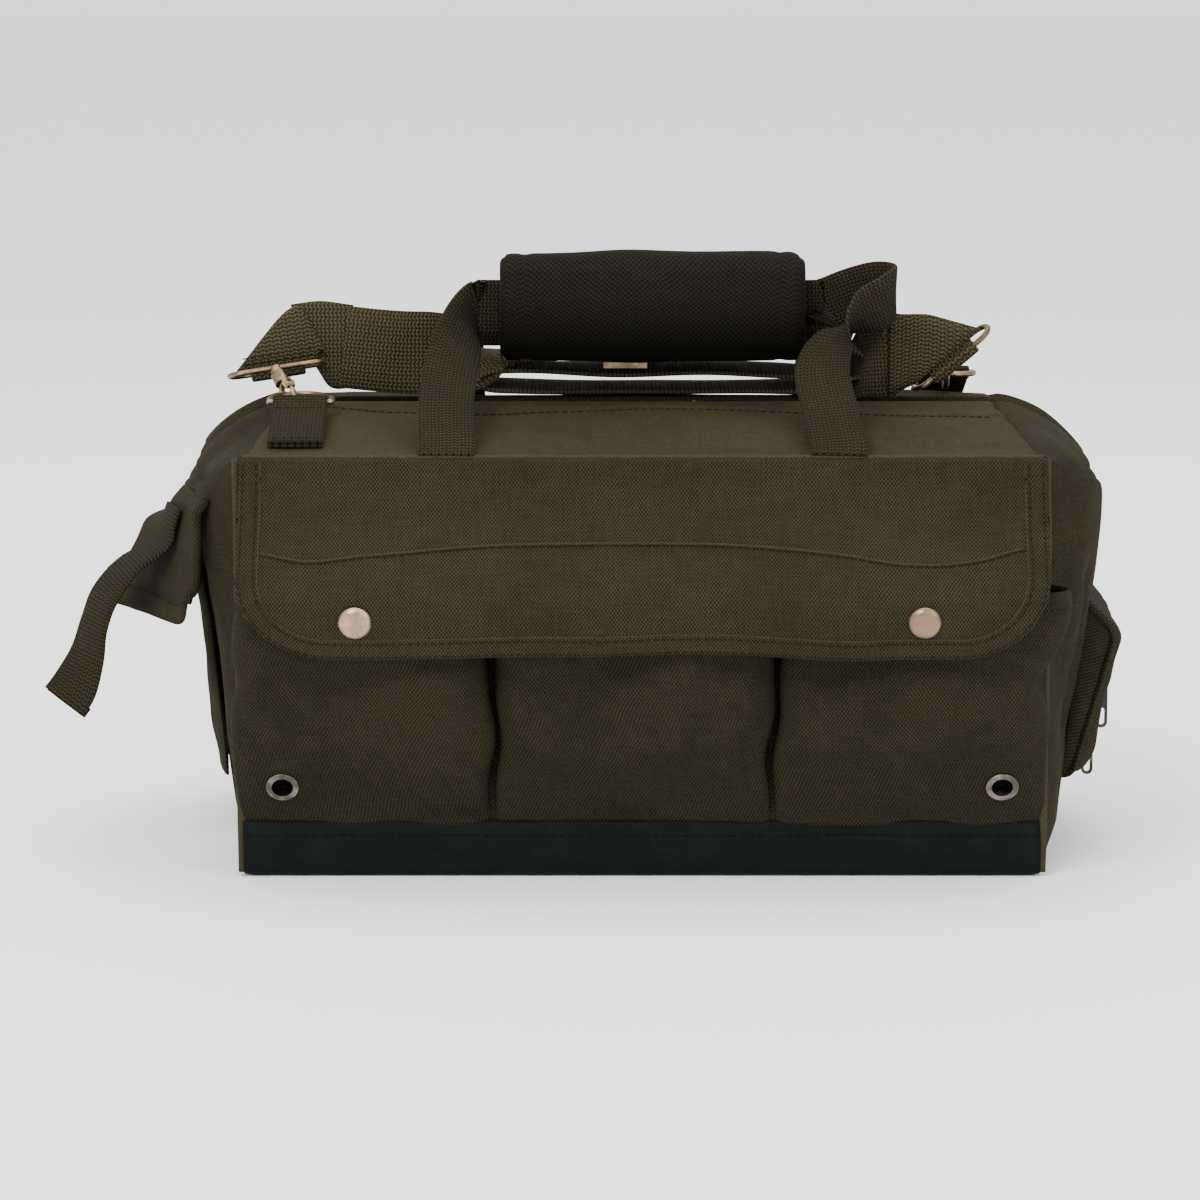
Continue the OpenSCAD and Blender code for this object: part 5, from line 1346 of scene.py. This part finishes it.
# Tabs: webbing folded round the bar of a D-ring, both layers sewn to the top panel
TAB_LIFT = math.radians(20.0)
TABS = {-1: (153.0, 41.0), 1: (141.0, 50.0)}
TAB_FOOT_Y = 83.5
TAB_FOOT_Z = 190.118
TAB_T = 3.6
TAB_W = 24.6
TAB_LAYER = TAB_T / 2 - 0.1


def corner_place(p, side):
    """Place near the left front corner, or turned half round to the right back one, in the bag's frame."""
    q = p + np.array([-TABS[side][0], -TAB_FOOT_Y, TAB_FOOT_Z])
    return q if side < 0 else q * np.array([-1, -1, 1])


def tab_at(along, up):
    c, s = math.cos(TAB_LIFT), math.sin(TAB_LIFT)
    return np.array([0, along * c - up * s, along * s + up * c])


def build_tab(name, side):
    length = TABS[side][1]
    reach = 1.3 + 0.15 + TAB_LAYER / 2
    places = np.linspace(0.3, length - 4.5, 14)
    path = [tab_at(a, TAB_LAYER / 2 + 0.05) for a in places]
    bar = tab_at(length, TAB_T / 2)
    for turn in np.linspace(-math.pi / 2, math.pi / 2, 17):
        path.append(bar + reach * (math.cos(turn) * tab_at(1, 0) + math.sin(turn) * tab_at(0, 1)))
    path += [tab_at(a, TAB_T - TAB_LAYER / 2 - 0.05) for a in places[::-1]]
    wide = np.array([1.0, 0, 0])
    made = band_mesh([(corner_place(p, side), wide) for p in path], TAB_W, TAB_LAYER, steps=1)
    add_piece(name + "_webbing", made, webbing, "bag", "webbing", name)
    up = (corner_place(tab_at(10, TAB_T), side) - corner_place(tab_at(10, 0), side)) / TAB_T
    rows = []
    for place in (3.4, length - 9):
        centre = corner_place(tab_at(place, TAB_T + 0.02), side)
        rows.append((np.array([centre - wide * TAB_W * 0.44, centre + wide * TAB_W * 0.44]), up))
    add_stitches(name + "_stitches", rows, "bag")


# Right end pocket: a full box of canvas whose outer face leans, with the zip down its middle
PK_HALF = 52.0
PK_TOP = 102.0
PK_FOOT = 36.0
PK_TOP_X = HALF_W + END_BULGE + 17.5
PK_LID_Z = 122.0
PK_HEM = 3.4
PK_PIPING = 1.5
FACE_LEAN = math.radians(16.0)
ZIP_Z = 69.0
ZIP_L = 62.0
SLOT_HALF = 5.6
TAPE_T = 0.8
# Face of the ends in the part, as shares of their height and bulge
END_SHARES = ((0.0, 0.3), (0.16, 0.5), (0.37, 0.72), (0.6, 0.9), (0.82, 1.0))


def pk_face_x(z):
    return PK_TOP_X - (PK_TOP - z) * math.tan(FACE_LEAN)


def end_face_x(z):
    return HALF_W + straight(END_SHARES, z / WALL_H) * END_BULGE + 0.4


def face_point(along, out, y):
    """Place on the end pocket's face, by the distance down the zip and the distance outwards."""
    x = pk_face_x(ZIP_Z) - along * math.sin(FACE_LEAN) + out * math.cos(FACE_LEAN)
    z = ZIP_Z - along * math.cos(FACE_LEAN) - out * math.sin(FACE_LEAN)
    return np.array([x, y, z])


def build_end_pocket():
    fine = resample(rounded_line([
        (end_face_x(PK_FOOT) - 1.0, PK_FOOT + 1), (pk_face_x(PK_FOOT), PK_FOOT), (pk_face_x(PK_TOP), PK_TOP),
        (end_face_x(PK_LID_Z) - 1.0, PK_LID_Z),
    ], 6.0, 6), 1.9)
    fine_x, fine_z = fine.T
    parts = []
    # Cloth on both sides of the zip
    for near, far in ((-PK_HALF, -SLOT_HALF), (SLOT_HALF, PK_HALF)):
        grid = points_at(fine_x[None, :], np.linspace(near, far, 28)[:, None], fine_z[None, :])
        y = grid[..., 1]
        drop = 5.0 * (1 - smooth(0, 8, PK_HALF - np.abs(y))) ** 2
        out = ripples(grid, (2.2, 46, 141), (0.6, 20, 142))
        out = out - 2.4 * bell(y - 0.25 * (grid[..., 2] - 60) - 30, 4.0)
        face = smooth(0, 4, grid[..., 0] - end_face_x(grid[..., 2]))
        shift = (out * smooth(0, 6, np.abs(y) - SLOT_HALF) - drop) * face
        grid[..., 0] += shift * math.cos(FACE_LEAN)
        grid[..., 2] -= shift * math.sin(FACE_LEAN) * 0.5
        parts.append(sheet_mesh(grid, CANVAS))
    # Strips below and above the zip
    for strip in (fine[fine_z < PK_FOOT + PK_HEM], fine[fine_z > PK_TOP - PK_HEM]):
        ys = np.linspace(-SLOT_HALF - 0.4, SLOT_HALF + 0.4, 7)
        parts.append(sheet_mesh(points_at(strip[None, :, 0], ys[:, None], strip[None, :, 1]), CANVAS))
    # Side walls and their piped edges
    end_x = end_face_x(fine_z)
    depth = np.linspace(0, 1, 8)[None, :]
    back_x = (end_x - 1.5)[:, None]
    front_x = np.maximum(fine_x[:, None] - 4.2, back_x)
    for end in (-1, 1):
        swell = np.sin(depth * math.pi) * np.sin(np.linspace(0, math.pi, len(fine)))[:, None]
        x = back_x + (front_x - back_x) * depth
        out = 2.2 * swell + ripple(points_at(x, 0, 0), 30, 143 + end) * 0.5 * swell
        grid = points_at(x, end * (PK_HALF - 1.0 + out), fine_z[:, None])
        edge = points_at(fine_x - 4.6, end * (PK_HALF - 0.4), fine_z)[fine_x > end_x + 2.0]
        parts += [sheet_mesh(grid, CANVAS, out=float(end)), tube(edge, PK_PIPING, 8)]
    made = join(*parts)
    add_piece("end_pocket_right_canvas", made, canvas_gusset, "bag", "canvas", "end_pocket_right")
    normal = np.array([math.cos(FACE_LEAN), 0, -math.sin(FACE_LEAN)])
    rows = [(np.array([face_point(a, 0.7, y) for a in np.linspace(-ZIP_L / 2, ZIP_L / 2, 30)]), normal)
            for y in (-SLOT_HALF - 1.8, SLOT_HALF + 1.8)]
    add_stitches("end_pocket_right_stitches", rows, "bag")
    tapes = []
    for side in (-1, 1):
        along = np.linspace(-ZIP_L / 2 - 0.1, ZIP_L / 2 + 0.1, 30)
        ys = np.linspace(0.65, 9.5, 6) * side
        grid = np.array([[face_point(a, -CANVAS - 0.35, y) for a in along] for y in ys])
        tapes.append(sheet_mesh(grid, TAPE_T, out=-float(side)))
    add_piece("end_zip_tape_cloth", join(*tapes), tape_cloth, "bag", "zip_tape", "end_zip_tapes")


def build_main_tapes():
    """Zip tapes that line the valley between the top panels."""
    tapes = []
    for side in (-1, 1):
        grid = points_at(np.linspace(-156, 156, 60)[:, None], side * np.linspace(0.65, 9.6, 7)[None, :], 0)
        grid[..., 2] = CREST_Z - VALLEY_DROP - TAPE_T + 0.25 * ripple(grid, 40, 151)
        tapes.append(sheet_mesh(grid, TAPE_T, out=float(side)))
    add_piece("main_zip_tape_cloth", join(*tapes), tape_cloth, "bag", "zip_tape", "main_zip_tapes")


# Left end pocket: an open patch pocket on the bulging end, with a turned hem
LP_HALF = 42.0
LP_FOOT = 34.0
LP_TOP = 136.0
LP_DEPTHS = ((LP_FOOT, 7.0), (0.37 * WALL_H, 8.5), (LP_TOP, 9.5))
LP_ROUND = math.pi / 2 * 0.98
LP_ROW = 36


def build_left_pocket():
    heights = np.concatenate([np.linspace(LP_FOOT, 123, 34), [124.2, 125.4, 129, 133, LP_TOP]])
    turns = np.linspace(-1, 1, 60)
    y = LP_HALF * np.sin(turns * LP_ROUND) / math.sin(LP_ROUND)
    section = (1 - np.abs(y / (LP_HALF + 0.2)) ** 6) ** (1 / 3)
    grid = points_at(0, y[:, None], heights[None, :])
    back = HALF_W + end_bulge(grid[..., 1], grid[..., 2], -1) - 1.5
    out = ripples(grid, (1.1, 50, 161, (1, 1, 1.4)), (0.35, 20, 162)) - 0.8
    out = out * smooth(1, 0.8, np.abs(turns))[:, None] + 0.6 * smooth(123.6, 125.2, grid[..., 2])
    grid[..., 0] = -(back + straight(LP_DEPTHS, heights)[None, :] * section[:, None] + out)
    made = sheet_mesh(grid, CANVAS - 0.2, out=-1.0)
    # The left end pocket takes the same darker canvas, as painted shade
    add_piece("end_pocket_left_canvas", made, canvas_dark, "bag", "canvas_dark", "end_pocket_left")
    add_stitches("end_pocket_left_stitches", [(grid[2:-2, LP_ROW] - (0.1, 0, 0), (-1.0, 0, 0))], "bag")


# Flap over the left end pocket, sewn on where the end turns to the front, and its webbing tie strap
EF_TURN = math.radians(16.0)
EF_AXIS = np.array([-200.352, -50.773, 162.0])
EF_X = -1.6
EF_Y = (-32.0, 42.0)
EF_W = 84.0
EF_DROP = 50.0
EF_REACH = 26.0
EF_CORNER = 12.0
EF_SHARES = ((0, 0.02), (0.2, 0.26), (0.45, 0.5), (0.75, 0.8), (1, 1))
EF_ROW = 31
EF_TAIL = (
    ((1.05, 0.02, -0.56), (-0.12, 0.97, 0.12)), ((1.477, 0.03, -0.828), (-0.2, 0.95, 0.2)),
    ((1.685, 0.03, -1.1), (-0.25, 0.94, 0.15)), ((1.81, 0.03, -1.368), (-0.4, 0.88, 0.15)),
    ((2.03, 0.03, -1.64), (-0.6, 0.75, 0.3)), ((2.215, 0.03, -1.778), (-0.63, 0.7, 0.35)),
)


def end_turned(p, place=True):
    """Point or direction of the end flap's own frame in the bag's."""
    p = np.asarray(p, float)
    x = p[..., 0] - (EF_X if place else 0.0)
    c, s = math.cos(EF_TURN), math.sin(EF_TURN)
    return points_at(x * c - p[..., 1] * s, x * s + p[..., 1] * c, p[..., 2]) + (EF_AXIS if place else 0.0)


def end_flap_at(y, s, soft):
    """Place on the flap in its own frame: it hangs down at its front edge and stands out at its back edge."""
    stand = np.interp(y, EF_Y, (0.05, 1.12))
    return EF_X - 5.0 - soft * EF_REACH * stand - CANVAS / 2, -s * EF_DROP - 3.0 * s * (1 - stand)


def hinge_end_flap(obj):
    """Bakes the end flap's placing into its mesh."""
    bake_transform(obj)


def build_end_flap():
    shares = np.concatenate([np.linspace(-0.1, 0.8, 30), [0.815, 0.83, 0.88, 0.94, 1.0]])
    y = np.linspace(*EF_Y, 50)
    hung = np.maximum(shares, 0)
    soft = np.maximum(follow(EF_SHARES, hung), 0)
    x, z = end_flap_at(y[:, None], shares[None, :], soft[None, :])
    over = np.clip(np.abs(y - 5) - (37 - EF_CORNER), 0, None)
    lift = EF_CORNER - np.sqrt(np.maximum(EF_CORNER**2 - over**2, 0))
    grid = points_at(x + 4.0 * smooth(0.02, -0.1, shares)[None, :], y[:, None],
                     z + lift[:, None] * smooth(0.6, 1, shares)[None, :])
    out = ripples(grid, (2.4, 60, 171), (0.7, 22, 172)) + 0.6
    grid[..., 0] -= out * hung[None, :] ** 1.2 + 0.7 * smooth(0.806, 0.825, shares)[None, :]
    loose = smooth(16, 42, y)[:, None] * smooth(0.32, -0.1, shares)[None, :]
    grid[..., 0] += 5.5 * loose
    grid[..., 2] -= 9.0 * loose
    placed = end_turned(grid)
    made = join(sheet_mesh(placed, CANVAS), tube(placed[0] + (0.6, 0.0, 0.0), 2.3, 8))
    hinge_end_flap(add_piece("end_flap_canvas", made, canvas_gusset, None, "canvas", "end_flap"))
    row = placed[1:-1, EF_ROW] - (0.15, 0, 0)
    add_stitches("end_flap_stitches", [(row, unit(np.array([-1.0, -0.2, -0.4])))], "end_flap")


def build_end_strap():
    """Webbing down the end flap and on past it, with its last centimetre turned back and sewn."""
    off = CANVAS / 2 + WEB_T / 2 + 0.4
    stations = []
    for s in (0.04, 0.2, 0.36):
        x, z = end_flap_at(2.0, s, float(follow(EF_SHARES, s)))
        stations.append((end_turned((x - off - 2.0 * s, 2.0, z)), end_turned((-0.1 * s, 1, 0), False)))
    off = CANVAS + WEB_T / 2
    for (a, b, c), wide in EF_TAIL:
        place = (EF_X - a * EF_REACH - off, b * EF_W, c * EF_DROP)
        stations.append((end_turned(place), end_turned(wide, False)))
    centres, tangents, across, normals = band_frames(stations)
    turned = [(centres[k] + normals[k] * 2.4 + tangents[k] * 0.6, across[k]) for k in range(-7, 0)]
    made = join(band_mesh(stations, HANDLE_W, WEB_T, cup=0.7),
                band_mesh(turned, HANDLE_W - 1.0, WEB_T, steps=2, cup=0.7))
    name = "end_flap_strap"
    hinge_end_flap(add_piece(name + "_webbing", made, webbing, None, "webbing", name))
    rows = []
    for k in (-6, -3):
        middle = centres[k] + normals[k] * 4.0
        wide = across[k] * HANDLE_W * 0.44
        rows.append((np.array([middle - wide, middle + wide]), normals[k]))
    add_stitches(name + "_stitches", rows, "end_flap")


build_flap()
build_caps()
for pocket in POCKETS:
    build_pocket(*pocket)
build_wall("front_panel", -1)
build_wall("back_panel", 1)
build_base()
build_end("left_end", -1)
build_end("right_end", 1)
build_top("top_front", -1)
build_top("top_back", 1)
build_seams()
build_handle("front_handle", FRONT_HANDLE, -1, FRONT_GRIP)
build_handle("back_handle", BACK_HANDLE, 1, BACK_GRIP, cup=0.8)
build_wrap()
build_strap()
build_left_end()
build_right_end()
build_tab("tab_left", -1)
build_tab("tab_right", 1)
build_end_pocket()
build_main_tapes()
build_left_pocket()
build_end_flap()
build_end_strap()

# Metal and board pieces keep the part's own shapes and take worn materials
FINISHES = {
    brass: ("main_zip_teeth", "main_zip_stops", "end_zip_teeth", "main_slider_left", "main_slider_right",
            "end_slider_upper", "end_slider_lower", "ring_left", "ring_right", "strap_loop_left",
            "strap_loop_right", "hook_left", "hook_right", "gate_left", "gate_right", "tri_glide"),
    gunmetal: ("main_pull_left", "main_pull_right", "end_pull_upper", "end_pull_lower"),
    nickel: ("snap_studs",),
    dull_nickel: ("eyelet_left", "eyelet_right"),
    board: ("base_board",),
}
for material, names in FINISHES.items():
    for name in names:
        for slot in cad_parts[name].material_slots:
            slot.material = material
